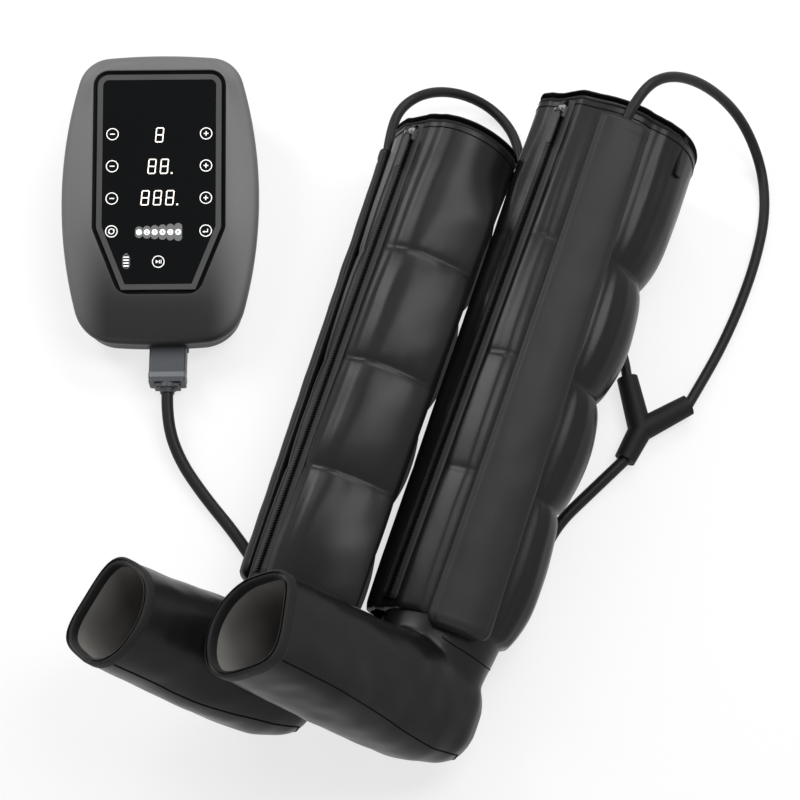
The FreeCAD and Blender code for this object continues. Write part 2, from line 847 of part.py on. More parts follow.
def leg_sleeve(boot):
    outer = Part.makeLoft([leg_ring(boot, u, swell) for u, swell in chamber_profile()], True, True)
    lining = sleeve_wall + seam_draw
    inner = Part.makeLoft([leg_ring(boot, leg_bottom - 1, 0, lining), leg_ring(boot, leg_top + 1, 0, lining)],
                          True, True)
    return settled(boot, outer.cut(inner)).cut(hose_channel())


def foot_point(boot, along, aside, u):
    middle = axis_point(boot, 0) + V(0, u, 0)
    sideways = toward(world_angle(boot, 90))
    return middle + toward(toe_lean) * along * boot["foot"] + sideways * aside


def foot_ring(boot, along, middle, half_width, half_height):
    points = []
    for k in range(foot_ring_points):
        turn = 2 * math.pi * (k - 1) / foot_ring_points
        x = math.copysign(abs(math.cos(turn)) ** (2 / foot_corner_power), math.cos(turn))
        y = math.copysign(abs(math.sin(turn)) ** (2 / foot_corner_power), math.sin(turn))
        points.append(foot_point(boot, along, half_width * x, middle + half_height * y))
    return closed_arcs(points)


def foot_tube(boot, inset, overrun):
    rings = []
    for along, middle, half_width, half_height in foot_sections[1:] if inset else foot_sections:
        if along < 0:
            along = along + inset
        rings.append(foot_ring(boot, along, middle, half_width - inset, half_height - inset))
    if overrun:
        along, middle, half_width, half_height = foot_sections[-1]
        rings[-1] = foot_ring(boot, along + overrun, middle, half_width - inset, half_height - inset)
    return Part.makeLoft(rings, True, True)


def ankle_tube(boot, inset, swell, top):
    start = leg_ring(boot, ankle_start + inset, swell, inset + ankle_taper)
    return Part.makeLoft([start, leg_ring(boot, top, swell, inset)], True, True)


def foot_sleeve(boot):
    outer = foot_tube(boot, 0, 0).fuse(ankle_tube(boot, 0, -seam_draw, leg_bottom))
    lining = sleeve_wall + seam_draw
    inner = foot_tube(boot, foot_wall, 1.0).fuse(ankle_tube(boot, lining, 0, leg_bottom + 1))
    return flat_under(outer.cut(inner))


def top_binding(boot):
    lining = sleeve_wall + seam_draw
    heights = (leg_top, leg_top + binding_height)
    outer = Part.makeLoft([leg_ring(boot, u, rim_swell, -binding_lip) for u in heights], True, True)
    inner = Part.makeLoft([leg_ring(boot, u, 0, lining + binding_lip) for u in heights], True, True)
    return settled(boot, outer.cut(inner))


def toe_binding(boot):
    along, middle, half_width, half_height = foot_sections[-1]
    reach = (along, along + toe_binding_length)
    inset = foot_wall + binding_lip
    outer = [foot_ring(boot, a, middle, half_width + binding_lip, half_height + binding_lip) for a in reach]
    inner = [foot_ring(boot, a, middle, half_width - inset, half_height - inset) for a in reach]
    return Part.makeLoft(outer, True, True).cut(Part.makeLoft(inner, True, True))


# ---------------------------------------------------------------- hose cover and air line
def cover_share(boot, u):
    return (u - boot["cover_bottom"]) / (cover_top - boot["cover_bottom"])


def cover_angle(boot, u):
    return cover_angle_bottom + (cover_angle_top - cover_angle_bottom) * cover_share(boot, u)


def cover_ring(boot, u, low, high, inset):
    middle = cover_angle(boot, u)
    width = cover_width_bottom + (cover_width_top - cover_width_bottom) * cover_share(boot, u) - 2 * inset
    radius = base_radius(boot, u, world_angle(boot, middle))
    spread = math.degrees(width / 2 / (radius + low))
    inner = [leg_point(boot, u, middle + a, low) for a in (-spread, 0, spread)]
    outer = [leg_point(boot, u, middle + a, high) for a in (spread, 0, -spread)]
    edges = [Part.Arc(*inner).toShape(), Part.LineSegment(inner[2], outer[0]).toShape(),
             Part.Arc(*outer).toShape(), Part.LineSegment(outer[2], inner[0]).toShape()]
    return Part.Wire(edges)


def hose_cover(boot):
    top = cover_gap + cover_thickness
    bottom = boot["cover_bottom"]
    knee = max(leg_bottom, bottom + 15)
    outer = Part.makeLoft([cover_ring(boot, u, cover_gap, top, 0) for u in (bottom, knee, cover_top)],
                          True, True)
    room = Part.makeLoft([cover_ring(boot, u, -cover_gap, top - cover_wall, cover_wall)
                          for u in (bottom + cover_end_wall, knee, cover_top + 1)], True, True)
    return outer.cut(room)


def air_line_end(boot, u):
    return leg_point(boot, u, cover_angle(boot, u), air_line_stand)


def air_line(boot):
    start = air_line_end(boot, boot["cover_bottom"] + 2 * cover_end_wall)
    end = air_line_end(boot, cover_top + air_line_reach)
    return cylinder(air_line_radius, (end - start).Length, start, end - start)


# ---------------------------------------------------------------- zips
def zip_share(boot, u):
    return (u - boot["zip_bottom"]) / (track_top - boot["zip_bottom"])


def zip_angle(boot, u):
    low, high = boot["zip"]
    return low + (high - low) * zip_share(boot, u)


def track_axes(boot, u):
    """Origin, sideways, along and outward directions of the straight zip track."""
    ends = (boot["zip_bottom"], track_top)
    low, high = [leg_point(boot, end, angle, 0) for end, angle in zip(ends, boot["zip"])]
    along = (high - low).normalize()
    middle = sum(ends) / 2
    half_width, half_height = leg_size(boot, middle)
    radial = (low + high) * 0.5 - axis_point(boot, middle)
    out = V(radial.x / half_width ** 2, 0, radial.z / half_height ** 2).normalize()
    out = (out - along * out.dot(along)).normalize()
    return low + (high - low) * zip_share(boot, u), along.cross(out), along, out


def track_bar(boot, half_width, low, high):
    wires = []
    for u in (boot["zip_bottom"], track_top):
        origin, side, along, out = track_axes(boot, u)
        corners = [(-half_width, low), (half_width, low), (half_width, high), (-half_width, high)]
        points = [origin + side * a + out * b for a, b in corners]
        wires.append(Part.makePolygon(points + points[:1]))
    return Part.makeLoft(wires, True, True)


def teeth_level():
    return track_gap + tape_thickness


def front_zip(boot):
    tape = track_bar(boot, tape_width / 2, track_gap, teeth_level())
    teeth = track_bar(boot, teeth_width / 2, teeth_level(), teeth_level() + teeth_height)
    return tape.fuse(teeth).removeSplitter()


def on_track(boot, shape):
    origin, side, along, out = track_axes(boot, slider_top)
    moved = shape.copy()
    turn = FreeCAD.Rotation(side, along, out, "XYZ")
    moved.Placement = FreeCAD.Placement(origin, turn)
    return moved


def pin_level():
    return teeth_level() + slider_gap + slider_size[2] + pin_height


def zip_slider(boot):
    width, length, height = slider_size
    bottom = teeth_level() + slider_gap
    body = box((-width / 2, -length / 2, bottom), slider_size)
    body = body.makeFillet(1.5, [e for e in body.Edges if abs(e.tangentAt(0).z) > 0.9])
    slot_width = teeth_width + 2 * slot_clearance
    slot_top = teeth_level() + teeth_height + slider_gap
    slot_size = (slot_width, 2 * length, slot_top - bottom + 1)
    body = body.cut(box((-slot_width / 2, -length, bottom - 1), slot_size))
    lug_start = eye_width / 2 + 0.2
    lugs = []
    for x in (-lug_start - lug_width, lug_start):
        lug = box((x, -2, bottom + height - small), (lug_width, 4, lug_height + small))
        lugs.append(lug.makeFillet(1.2, [e for e in lug.Edges if abs(e.tangentAt(0).x) > 0.9
                                         and e.BoundBox.ZMin > bottom + height + 1]))
    pin = cylinder(pin_radius, 2 * lug_start, V(-lug_start, 0, pin_level()), V(1, 0, 0))
    return on_track(boot, fuse([body, pin] + lugs))


def zip_tab(boot):
    level = pin_level()
    eye = cylinder(eye_radius, eye_width, V(-eye_width / 2, 0, level), V(1, 0, 0))
    neck = box((-eye_width / 2, -6, level - tab_thickness / 2), (eye_width, 6, tab_thickness))
    plate_size = (tab_width, tab_length - 5, tab_thickness)
    plate = box((-tab_width / 2, -tab_length, level - tab_thickness / 2), plate_size)
    plate = plate.makeFillet(2.0, [e for e in plate.Edges if abs(e.tangentAt(0).z) > 0.9])
    tab = fuse([eye, neck, plate])
    bore = cylinder(pin_radius + pin_clearance, eye_width + 2, V(-eye_width / 2 - 1, 0, level), V(1, 0, 0))
    return on_track(boot, tab.cut(bore))


def side_pull(boot):
    wires = []
    for u, stand in zip((pull_bottom, leg_top + binding_height - 1), pull_stand):
        point = leg_point(boot, u, pull_angle, stand)
        out = toward(world_angle(boot, pull_angle))
        side = V(0, 1, 0).cross(out) * (pull_width / 2)
        corners = [point - side, point + side, point + side + out * pull_thickness,
                   point - side + out * pull_thickness]
        wires.append(Part.makePolygon(corners + corners[:1]))
    return Part.makeLoft(wires, True, True)


# ---------------------------------------------------------------- assembly
def make_pump():
    save(turned_pump(front_cover()), "front_cover")
    save(turned_pump(rear_cover()), "rear_cover")
    save(turned_pump(display_bezel()), "display_bezel")
    save(turned_pump(display_glass()), "display_glass")
    for name, place in key_places().items():
        save(turned_pump(key_cap(*place)), name)
    inner_parts = [display_board, display_modules, key_switches, main_board, battery_pack, compressor_frame,
                   compressor_mounts, compressor_motor, pump_head, head_cover, drive_shaft, valve_manifold,
                   solenoid_valves, air_tubes, feed_tube, hose_socket, charging_jack, rubber_feet,
                   cover_screws, hose_plug, hose_collar]
    for make in inner_parts:
        save(turned_pump(make()), make.__name__)


def make_hoses():
    splitter = y_splitter()
    save(splitter, "y_splitter")
    save(hose([trunk_start()] + trunk_points + [splitter_stem_end], trunk_radius, "trunk_hose"), "trunk_hose")
    left = [air_line_end(left_boot, cover_top + air_line_reach)] + left_branch_points + [splitter_right_end]
    save(hose(left, branch_radius, "branch_hose_left"), "branch_hose_left")
    right = [air_line_end(right_boot, cover_top + air_line_reach)] + right_branch_points + [splitter_left_end]
    save(hose(right, branch_radius, "branch_hose_right"), "branch_hose_right")


def make_boot(boot, name):
    pieces = [leg_sleeve, foot_sleeve, top_binding, toe_binding, hose_cover, air_line,
              front_zip, zip_slider, zip_tab, side_pull]
    for make in pieces:
        save(make(boot), make.__name__ + "_" + name)


os.makedirs("parts", exist_ok=True)
make_pump()
make_hoses()
make_boot(left_boot, "left")
make_boot(right_boot, "right")
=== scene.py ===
import json
import math
import bmesh
import bpy
from mathutils import Matrix, Vector, noise
from mathutils.bvhtree import BVHTree

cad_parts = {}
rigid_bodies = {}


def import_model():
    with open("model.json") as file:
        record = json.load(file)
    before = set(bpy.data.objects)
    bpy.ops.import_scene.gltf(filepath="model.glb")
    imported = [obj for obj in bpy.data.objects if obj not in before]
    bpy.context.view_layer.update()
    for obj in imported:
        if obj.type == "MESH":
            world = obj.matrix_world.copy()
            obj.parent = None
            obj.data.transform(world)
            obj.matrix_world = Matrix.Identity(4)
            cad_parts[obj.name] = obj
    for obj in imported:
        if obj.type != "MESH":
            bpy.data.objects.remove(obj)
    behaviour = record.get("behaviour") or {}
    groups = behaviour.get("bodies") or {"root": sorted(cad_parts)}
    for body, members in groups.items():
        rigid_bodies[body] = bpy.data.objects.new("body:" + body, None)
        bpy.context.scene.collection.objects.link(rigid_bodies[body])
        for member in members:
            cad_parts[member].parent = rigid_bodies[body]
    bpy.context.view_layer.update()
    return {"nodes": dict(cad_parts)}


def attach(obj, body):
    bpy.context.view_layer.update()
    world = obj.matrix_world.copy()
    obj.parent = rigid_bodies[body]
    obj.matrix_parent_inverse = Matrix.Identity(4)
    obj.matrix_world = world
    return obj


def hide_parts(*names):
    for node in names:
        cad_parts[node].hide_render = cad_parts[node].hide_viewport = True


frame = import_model()
nodes = frame["nodes"]
mainBody = "pump_hoses_and_boots"
mm = 0.001
pumpTurn = 19.5         # degrees that the pump is turned on the floor

for leftover in list(bpy.data.objects):
    if leftover.name in ("Cube", "Light", "Camera"):
        bpy.data.objects.remove(leftover)


def placeObject(name, data):
    piece = bpy.data.objects.new(name, data)
    bpy.context.scene.collection.objects.link(piece)
    return piece


# camera: high above the soles, looking down on the set
cameraSettings = {
    "target": Vector((0.312, -0.134, 0.090)),
    "elevation": 70.0,
    "azimuth": 19.0,
    "distance": 2.0,
    "lens": 90.0,
    "sensor": 36.0,
}


def addCamera():
    tilt = math.radians(cameraSettings["elevation"])
    turn = math.radians(cameraSettings["azimuth"])
    back = Vector((math.sin(turn) * math.cos(tilt), -math.cos(turn) * math.cos(tilt), math.sin(tilt)))
    data = bpy.data.cameras.new("camera")
    data.lens = cameraSettings["lens"]
    data.sensor_width = cameraSettings["sensor"]
    camera = placeObject("camera", data)
    camera.location = cameraSettings["target"] + back * cameraSettings["distance"]
    camera.rotation_euler = back.to_track_quat("Z", "Y").to_euler()
    bpy.context.scene.camera = camera
    print("camera set")


# materials
def setInputs(tree, node, inputs):
    # a socket is linked, anything else is a value
    for name, value in inputs.items():
        if isinstance(value, bpy.types.NodeSocket):
            tree.links.new(value, node.inputs[name])
        else:
            node.inputs[name].default_value = value


def addNode(tree, kind, inputs, **facts):
    node = tree.nodes.new("ShaderNode" + kind)
    for name, value in facts.items():
        setattr(node, name, value)
    setInputs(tree, node, inputs)
    return node


def newMaterial(name):
    material = bpy.data.materials.new(name)
    material.use_nodes = True
    tree = material.node_tree
    return material, tree, tree.nodes["Principled BSDF"]


def objectPlace(tree, inputs):
    place = addNode(tree, "TexCoord", {}).outputs["Object"]
    return addNode(tree, "Mapping", {"Vector": place, **inputs}).outputs["Vector"]


def objectNoise(tree, scale, detail=4.0, stretch=(1, 1, 1)):
    place = objectPlace(tree, {"Scale": stretch})
    return addNode(tree, "TexNoise", {"Vector": place, "Scale": scale, "Detail": detail}).outputs["Fac"]


def spread(tree, value, low, high, start=0.3, end=0.7, curve="LINEAR"):
    # carries a value that runs from start to end over to low..high
    ramp = addNode(tree, "MapRange", {
        "Value": value, "From Min": start, "From Max": end, "To Min": low, "To Max": high},
        interpolation_type=curve)
    return ramp.outputs["Result"]


def mixColours(tree, value, first, second):
    mix = addNode(tree, "Mix", {"A": (*first, 1), "B": (*second, 1), "Factor": value}, data_type="RGBA")
    return mix.outputs["Result"]


def combined(tree, operation, first, second):
    return addNode(tree, "Math", {0: first, 1: second}, operation=operation).outputs["Value"]


def addBump(tree, shader, height, strength, distance):
    bump = addNode(tree, "Bump", {"Height": height, "Strength": strength, "Distance": distance})
    tree.links.new(bump.outputs["Normal"], shader.inputs["Normal"])


def weave(tree, thread):
    # two crossing sets of threads
    place = addNode(tree, "TexCoord", {}).outputs["Object"]
    look = {"Vector": place, "Scale": thread, "Distortion": 1.0}
    waves = [addNode(tree, "TexWave", look, bands_direction=way).outputs["Fac"] for way in ("Y", "DIAGONAL")]
    return combined(tree, "MAXIMUM", *waves)


# depth of the bump, detail of the patches and detail of the grain
kinds = {"plastic": (0.0002, 4.0, 2.0), "rubber": (0.0003, 4.0, 3.0), "cloth": (0.0002, 4.0),
         "metal": (0.0001, 3.0)}


def makeFinish(
        name, kind, patch, dark, light, smooth, rough, grain, height, specular, stretch=(1, 1, 1),
        others=None):
    material, tree, shader = newMaterial(name)
    depth, patchDetail, *grainDetail = kinds[kind]
    patches = objectNoise(tree, patch, patchDetail, stretch)
    setInputs(tree, shader, {
        "Base Color": mixColours(tree, patches, dark, light),
        "Roughness": spread(tree, patches, smooth, rough), "Specular IOR Level": specular,
        "Metallic": float(kind == "metal"), **(others or {})})
    if kind == "cloth":
        texture = weave(tree, grain)
    else:
        texture = objectNoise(tree, grain, *grainDetail) if grain else patches
    addBump(tree, shader, texture, height, depth)
    return material


def grey(level):
    return (level, level, level)


def coat(weight):
    return {"Coat Weight": weight, "Coat Roughness": 0.25}


def sheen(weight):
    return {"Sheen Weight": weight, "Sheen Roughness": 0.4}


# kind, patch scale, darkest, lightest, smoothest, roughest, grain or thread scale, bump, specular,
# and for some the stretch of the patches and other inputs; metals have no grain but their patches
finishTable = {
    "rear cover plastic": ("plastic", 12.0, grey(0.030), grey(0.038), 0.45, 0.55, 2200.0, 0.15, 0.25),
    "bezel plastic": ("plastic", 15.0, grey(0.036), grey(0.044), 0.35, 0.42, 2600.0, 0.06, 0.35),
    # painted shade: the groove's wall is coloured near black, where shade falls in the step down round the
    # display
    "groove painted shade": ("plastic", 15.0, grey(0.008), grey(0.011), 0.5, 0.6, 2600.0, 0.06, 0.12),
    "black display glass": (
        "plastic", 6.0, (0.0028, 0.0032, 0.0036), (0.0040, 0.0044, 0.0048), 0.10, 0.16, 800.0, 0.01, 0.05),
    "plug plastic": (
        "plastic", 25.0, (0.038, 0.042, 0.047), (0.047, 0.052, 0.058), 0.40, 0.48, 2400.0, 0.10, 0.3),
    "plug band": (
        "plastic", 25.0, (0.115, 0.122, 0.130), (0.135, 0.143, 0.152), 0.38, 0.46, 2400.0, 0.08, 0.35),
    "circuit board": (
        "plastic", 60.0, (0.01, 0.09, 0.03), (0.02, 0.14, 0.05), 0.35, 0.5, 900.0, 0.1, 0.5, (1, 1, 1),
        coat(0.2)),
    "pale inner plastic": ("plastic", 20.0, grey(0.45), grey(0.55), 0.4, 0.5, 1500.0, 0.1, 0.5),
    "battery wrap": (
        "plastic", 12.0, (0.01, 0.03, 0.16), (0.015, 0.05, 0.22), 0.25, 0.35, 300.0, 0.1, 0.5, (1, 1, 1),
        coat(0.2)),
    "hose rubber": ("rubber", 40.0, grey(0.008), grey(0.013), 0.36, 0.46, 1200.0, 0.08, 0.14),
    "splitter rubber": ("rubber", 60.0, grey(0.0045), grey(0.008), 0.5, 0.62, 1500.0, 0.25, 0.15),
    "foot rubber": ("rubber", 60.0, grey(0.02), grey(0.03), 0.6, 0.75, 1800.0, 0.25, 0.3),
    "coated sleeve cloth": (
        "cloth", 14.0, (0.0050, 0.0049, 0.0051), (0.0074, 0.0072, 0.0072), 0.27, 0.34, 700.0, 0.10, 0.20),
    # the lining is a paler cloth, and its colour is raised further as painted light inside the boots
    "lining cloth": (
        "cloth", 20.0, (0.130, 0.124, 0.116), (0.200, 0.192, 0.180), 0.5, 0.62, 500.0, 0.2, 0.2, (1, 1, 1),
        sheen(0.1)),
    "strip cloth": (
        "cloth", 10.0, (0.012, 0.012, 0.013), (0.018, 0.018, 0.019), 0.42, 0.52, 700.0, 0.10, 0.17),
    "binding tape": (
        "cloth", 60.0, grey(0.007), grey(0.011), 0.55, 0.7, 420.0, 0.5, 0.15, (1, 1, 1), sheen(0.05)),
    "zip tape": ("cloth", 60.0, grey(0.018), grey(0.027), 0.5, 0.62, 420.0, 0.4, 0.2, (1, 1, 1), sheen(0.05)),
    "tab webbing": (
        "cloth", 60.0, grey(0.030), grey(0.042), 0.5, 0.62, 420.0, 0.4, 0.3, (1, 1, 1), sheen(0.05)),
    "seam thread": ("cloth", 80.0, grey(0.0015), grey(0.003), 0.7, 0.8, 500.0, 0.4, 0.05),
    "zip metal": ("metal", 900.0, grey(0.22), grey(0.36), 0.24, 0.38, 0.0, 0.15, 0.5, (1, 6, 1)),
    "inner metal": ("metal", 500.0, grey(0.40), grey(0.55), 0.3, 0.45, 0.0, 0.15, 0.5, (8, 1, 1)),
}
finishes = {name: makeFinish(name, *row) for name, row in finishTable.items()}

# painted shade on the shell: its colour is darker between the long sides at its lower end, in metres along
# the pump's own axes
shellPaintedShade = {
    "across": (0.050, 0.100), "along": (-0.120, 0.020), "dark": grey(0.010), "light": grey(0.120),
    "patch": 9.0, "smooth": 0.40, "rough": 0.46, "grain": 2600.0, "bump": 0.10, "specular": 0.25,
}


def addShellPaintedShade():
    look = shellPaintedShade
    material, tree, shader = newMaterial("shell plastic with painted shade")
    turned = objectPlace(tree, {"Rotation": (0, 0, math.radians(-pumpTurn))})
    parts = addNode(tree, "SeparateXYZ", {"Vector": turned}).outputs
    across = addNode(tree, "Math", {0: parts["X"]}, operation="ABSOLUTE").outputs["Value"]
    shade = combined(tree, "MULTIPLY", *[
        spread(tree, value, 1.0, 0.0, *look[way], "SMOOTHSTEP")
        for way, value in (("across", across), ("along", parts["Y"]))])
    setInputs(tree, shader, {
        # painted shade: the colour turns dark towards the lower end between the long sides
        "Base Color": mixColours(tree, shade, look["light"], look["dark"]),
        "Roughness": spread(tree, objectNoise(tree, look["patch"]), look["smooth"], look["rough"]),
        "Specular IOR Level": look["specular"]})
    depth, _, grainDetail = kinds["plastic"]
    addBump(tree, shader, objectNoise(tree, look["grain"], grainDetail), look["bump"], depth)
    finishes["shell plastic with painted shade"] = material


# colour and glow of the marks, and how far the colour wanders
markDim, markPatch = 0.92, 300.0
markTable = {
    "lit mark": ((0.86, 0.86, 0.84), 0.35), "lit digit": ((1.0, 0.95, 0.88), 0.6),
    "dim mark": (grey(0.115), 0.05), "dark mark": (grey(0.01), 0.0),
}


def addMarkFinish(name, colour, strength):
    material, tree, shader = newMaterial(name)
    dimmed = tuple(part * markDim for part in colour)
    setInputs(tree, shader, {
        "Emission Color": mixColours(tree, objectNoise(tree, markPatch, 1.0), dimmed, colour),
        "Emission Strength": strength, "Base Color": (*colour, 1), "Roughness": 0.5})
    finishes[name] = material


addShellPaintedShade()
for markName, markLook in markTable.items():
    addMarkFinish(markName, *markLook)
print("materials made")


# pieces
def finishPiece(piece, *names, body=mainBody, slotName=None, stands=None):
    for name in names:
        piece.data.materials.append(finishes[name])
    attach(piece, body)
    if stands:
        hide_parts(stands)
    return piece


def meshPiece(name, shape, smooth=True):
    mesh = bpy.data.meshes.new(name)
    shape.to_mesh(mesh)
    shape.free()
    if smooth:
        mesh.shade_smooth()
    return placeObject(name, mesh)


def finalMesh(piece):
    bpy.context.view_layer.update()
    return bpy.data.meshes.new_from_object(piece.evaluated_get(bpy.context.evaluated_depsgraph_get()))


def applyModifiers(piece):
    mesh, old = finalMesh(piece), piece.data
    piece.modifiers.clear()
    piece.data = mesh
    bpy.data.meshes.remove(old)


def gridShape(across, along, place, part=None, merge=1e-6, capped=False):
    # a grid over two shares from 0 to 1, carried to its place point by point; part picks a face's material
    shape = bmesh.new()
    bmesh.ops.create_grid(shape, x_segments=across, y_segments=along, size=0.5)
    if part:
        for face in shape.faces:
            middle = face.calc_center_median()
            face.material_index = int(part(middle.x + 0.5, middle.y + 0.5))
    for point in shape.verts:
        point.co = place(point.co.x + 0.5, point.co.y + 0.5)
    if merge:
        bmesh.ops.remove_doubles(shape, verts=shape.verts, dist=merge)
    if capped:
        bmesh.ops.holes_fill(shape, edges=shape.edges, sides=0)
    bmesh.ops.recalc_face_normals(shape, faces=shape.faces)
    return shape


def sheetPiece(name, shape, probe, wall, *names):
    # an open sheet has no outside of its own: the probed face looks up, and the wall goes on below
    piece = meshPiece(name, shape)
    if piece.data.polygons[probe].normal.z < 0:
        piece.data.flip_normals()
    for finish in names:
        piece.data.materials.append(finishes[finish])
    addThickness(piece, wall)
    applyModifiers(piece)
    return piece


def addThickness(piece, depth):
    wall = piece.modifiers.new("wall", "SOLIDIFY")
    wall.thickness = depth
    wall.offset = -1.0
    wall.use_even_offset = True
    return wall


def tubeCurve(name, kind, places, radius, fineness):
    # a round line along places given in metres
    curve = bpy.data.curves.new(name, "CURVE")
    curve.dimensions = "3D"
    curve.bevel_depth = radius * mm
    curve.bevel_resolution = fineness
    curve.use_fill_caps = True
    line = curve.splines.new(kind)
    line.points.add(len(places) - 1)
    for point, place in zip(line.points, places):
        point.co = (*place, 1)
    return curve, line


def curveShape(curve, merge):
    # a curve's own mesh with its doubles merged
    holder = placeObject(curve.name, curve)
    mesh = finalMesh(holder)
    shape = bmesh.new()
    shape.from_mesh(mesh)
    bmesh.ops.remove_doubles(shape, verts=shape.verts, dist=merge)
    bpy.data.objects.remove(holder)
    bpy.data.curves.remove(curve)
    bpy.data.meshes.remove(mesh)
    return shape


# hoses: middle lines and radii in millimetres, lengths in metres
hoses = {
    "trunk": {
        "node": "trunk_hose", "radius": 6.2, "length": 0.692,
        "points": [
            (73.0, -182.1, 20), (83, -210, 17), (108, -242, 9), (146, -270, 6.3), (190, -297, 6.3),
            (227, -325, 6.3), (264, -348, 6.3), (312, -356, 6.3), (366, -346, 6.3), (418, -324, 6.3),
            (455, -306, 6.3), (482, -270, 6.3), (492, -226, 6.3), (497, -182, 6.3), (521, -136, 9),
            (543, -94, 12.5)],
    },
    "leftBranch": {
        "node": "branch_hose_left", "radius": 5.5, "length": 0.578,
        "points": [
            (439.1, 199, 167.9), (444, 232, 177), (466, 268, 160), (504, 296, 112), (548, 306, 52),
            (586, 280, 10), (606, 228, 5.6), (611, 170, 5.6), (609, 112, 5.6), (603, 60, 5.6),
            (595, 18, 9), (588, -15, 12.5)],
    },
    "rightBranch": {
        "node": "branch_hose_right", "radius": 5.5, "length": 0.567,
        "points": [
            (208.8, 123.9, 74.3), (203, 150, 76), (202, 184, 75), (220, 218, 62), (250, 244, 34),
            (288, 250, 10), (324, 226, 5.6), (344, 180, 5.6), (351, 126, 5.6), (377, 80, 5.6),
            (421, 62.5, 5.6), (467, 60, 5.6), (502, 33, 8), (519.5, -7, 12.5)],
    },
}


def addHose(name, hose):
    places = [[part * mm for part in place] for place in hose["points"]]
    curve, line = tubeCurve(name, "NURBS", places, hose["radius"], 6)
    curve.resolution_u = 14
    line.order_u = 3
    line.use_endpoint_u = True
    return finishPiece(placeObject(name, curve), "hose rubber", slotName="hose", stands=hose["node"])


def declareHoses():
    # the trunk carries the splitter, the plug and its collar; the branches end in the splitter. This only
    # works out each hose's first point in metres and keeps nothing
    for name, hose in hoses.items():
        [part * mm for part in hose["points"][0]]


hosePieces = {name: addHose(name + "Hose", hose) for name, hose in hoses.items()}
print("hoses laid")


# the pump's face and the marks on it, in millimetres across and up the face
panelSettings = {
    "tilt": 12.0, "height": 84.0, "level": -0.77, "thick": 0.12,
    "ringRadius": 6.5, "ringWidth": 0.95,
    "digit": {"wide": 8.6, "tall": 16.2, "stroke": 1.2, "slant": 0.085, "pitch": 12.9, "dot": 1.8,
              "dotGap": 3.4, "dotRise": 0.9},
    # across, up, count of digits and whether a dot follows
    "digits": ((0.3, 65.8, 1, False), (-0.9, 32.0, 2, True), (-1.4, -1.6, 3, True)),
    "chambers": {"count": 6, "first": -20.3, "pitch": 8.15, "y": -38.2, "wide": 8.3, "low": 12.2,
                 "high": 19.2, "disc": 6.3, "number": 5.6},
    "battery": {"x": -33.4, "y": -69.2, "wide": 8.0, "tall": 15.2, "line": 0.7, "bars": 4, "pitch": 3.1,
                "bar": 1.5, "gap": 2.4, "cap": (3.0, 1.0)},
    # across, up and kind of icon
    "keys": {
        "key_position": (-49.0, -37.0, "position"), "key_confirm": (49.0, -37.0, "confirm"),
        "key_play_pause": (0.0, -69.5, "pause"),
        "key_mode_minus": (-49.0, 67.0, "minus"), "key_mode_plus": (49.0, 67.0, "plus"),
        "key_time_minus": (-49.0, 32.5, "minus"), "key_time_plus": (49.0, 32.5, "plus"),
        "key_pressure_minus": (-49.0, -2.0, "minus"), "key_pressure_plus": (49.0, -2.0, "plus"),
    },
    # bars by place and size; arrow heads by place, size and turn; arcs by radius, width, start and sweep
    "icons": {
        "minus": {"bars": ((0, 0, 5.0, 1.15),)},
        "plus": {"bars": ((0, 0, 5.0, 1.15), (0, 1.55, 1.15, 1.9), (0, -1.55, 1.15, 1.9))},
        "position": {"arcs": ((2.7, 1.0, 60, 150), (2.7, 1.0, 240, 150)),
                     "heads": ((-2.4, -1.6, 1.5, 200), (2.4, 1.6, 1.5, 20))},
        "confirm": {"bars": ((0.5, -1.2, 3.6, 1.0), (2.0, 0.6, 1.0, 2.6)), "heads": ((-2.0, -1.2, 1.5, 90),)},
        "pause": {"bars": ((1.2, 0, 0.9, 3.8), (2.9, 0, 0.9, 3.8)), "heads": ((-1.5, 0, 2.2, 270),)},
    },
}
panelMatrix = (
    Matrix.Rotation(math.radians(pumpTurn), 4, "Z")
    @ Matrix.Translation((0, 0, panelSettings["height"] * mm))
    @ Matrix.Rotation(math.radians(panelSettings["tilt"]), 4, "X") @ Matrix.Scale(mm, 4))


# the front shell: bowed outline, soft facets and the sunk pocket of the display, face-up at the origin
shellSettings = {
    "halfWidth": 103.5, "halfLength": 155.0, "sideBow": 470.0, "endBow": 640.0, "corners": (38.0, 48.0),
    "panel": {"halfWidth": 59.0, "top": 125.0, "bottom": 93.0, "cut": 32.0, "foot": 34.5},
    "panelRound": 6.0, "facets": 14, "facetStart": 0.1, "facetPower": 1.45, "drop": 6.9, "around": 288,
    # outset and rounding where the facets leave the panel, and inset where they reach the rim
    "facetOutset": 11.7, "facetRound": (18.0, 24.0), "facetInset": 6.4,
    # the rings round the shell: outline, outset from the panel or inset from the rim, height
    "wallRings": (("panel", 10.5, -4.0), ("panel", 10.5, -1.0), ("panel", 10.65, -0.5),
                  ("panel", 11.1, -0.15)),
    "edgeRings": (("barrel", 4.6, -7.8), ("barrel", 3.1, -8.7), ("barrel", 1.7, -9.9),
                  ("barrel", 0.7, -11.3), ("barrel", 0.15, -12.8), ("barrel", 0, -14.4),
                  ("barrel", 0, -17.9)),
    "underRings": (("barrel", 2.5, -17.9), ("barrel", 2.5, -14.0), ("barrel", 9.0, -11.5),
                   ("panel", 9.0, -9.0), ("panel", 7.5, -6.5), ("panel", -3.0, -6.5),
                   ("panel", -3.0, -4.0), ("panel", 10.5, -4.0)),
}


def reachOut(inside, turn):
    # how far out a direction stays inside an outline
    low, high = 0.0, 260.0
    for halving in range(26):           # down to a few nanometres
        middle = (low + high) / 2
        if inside(middle * math.cos(turn), middle * math.sin(turn)):
            low = middle
        else:
            high = middle
    return low


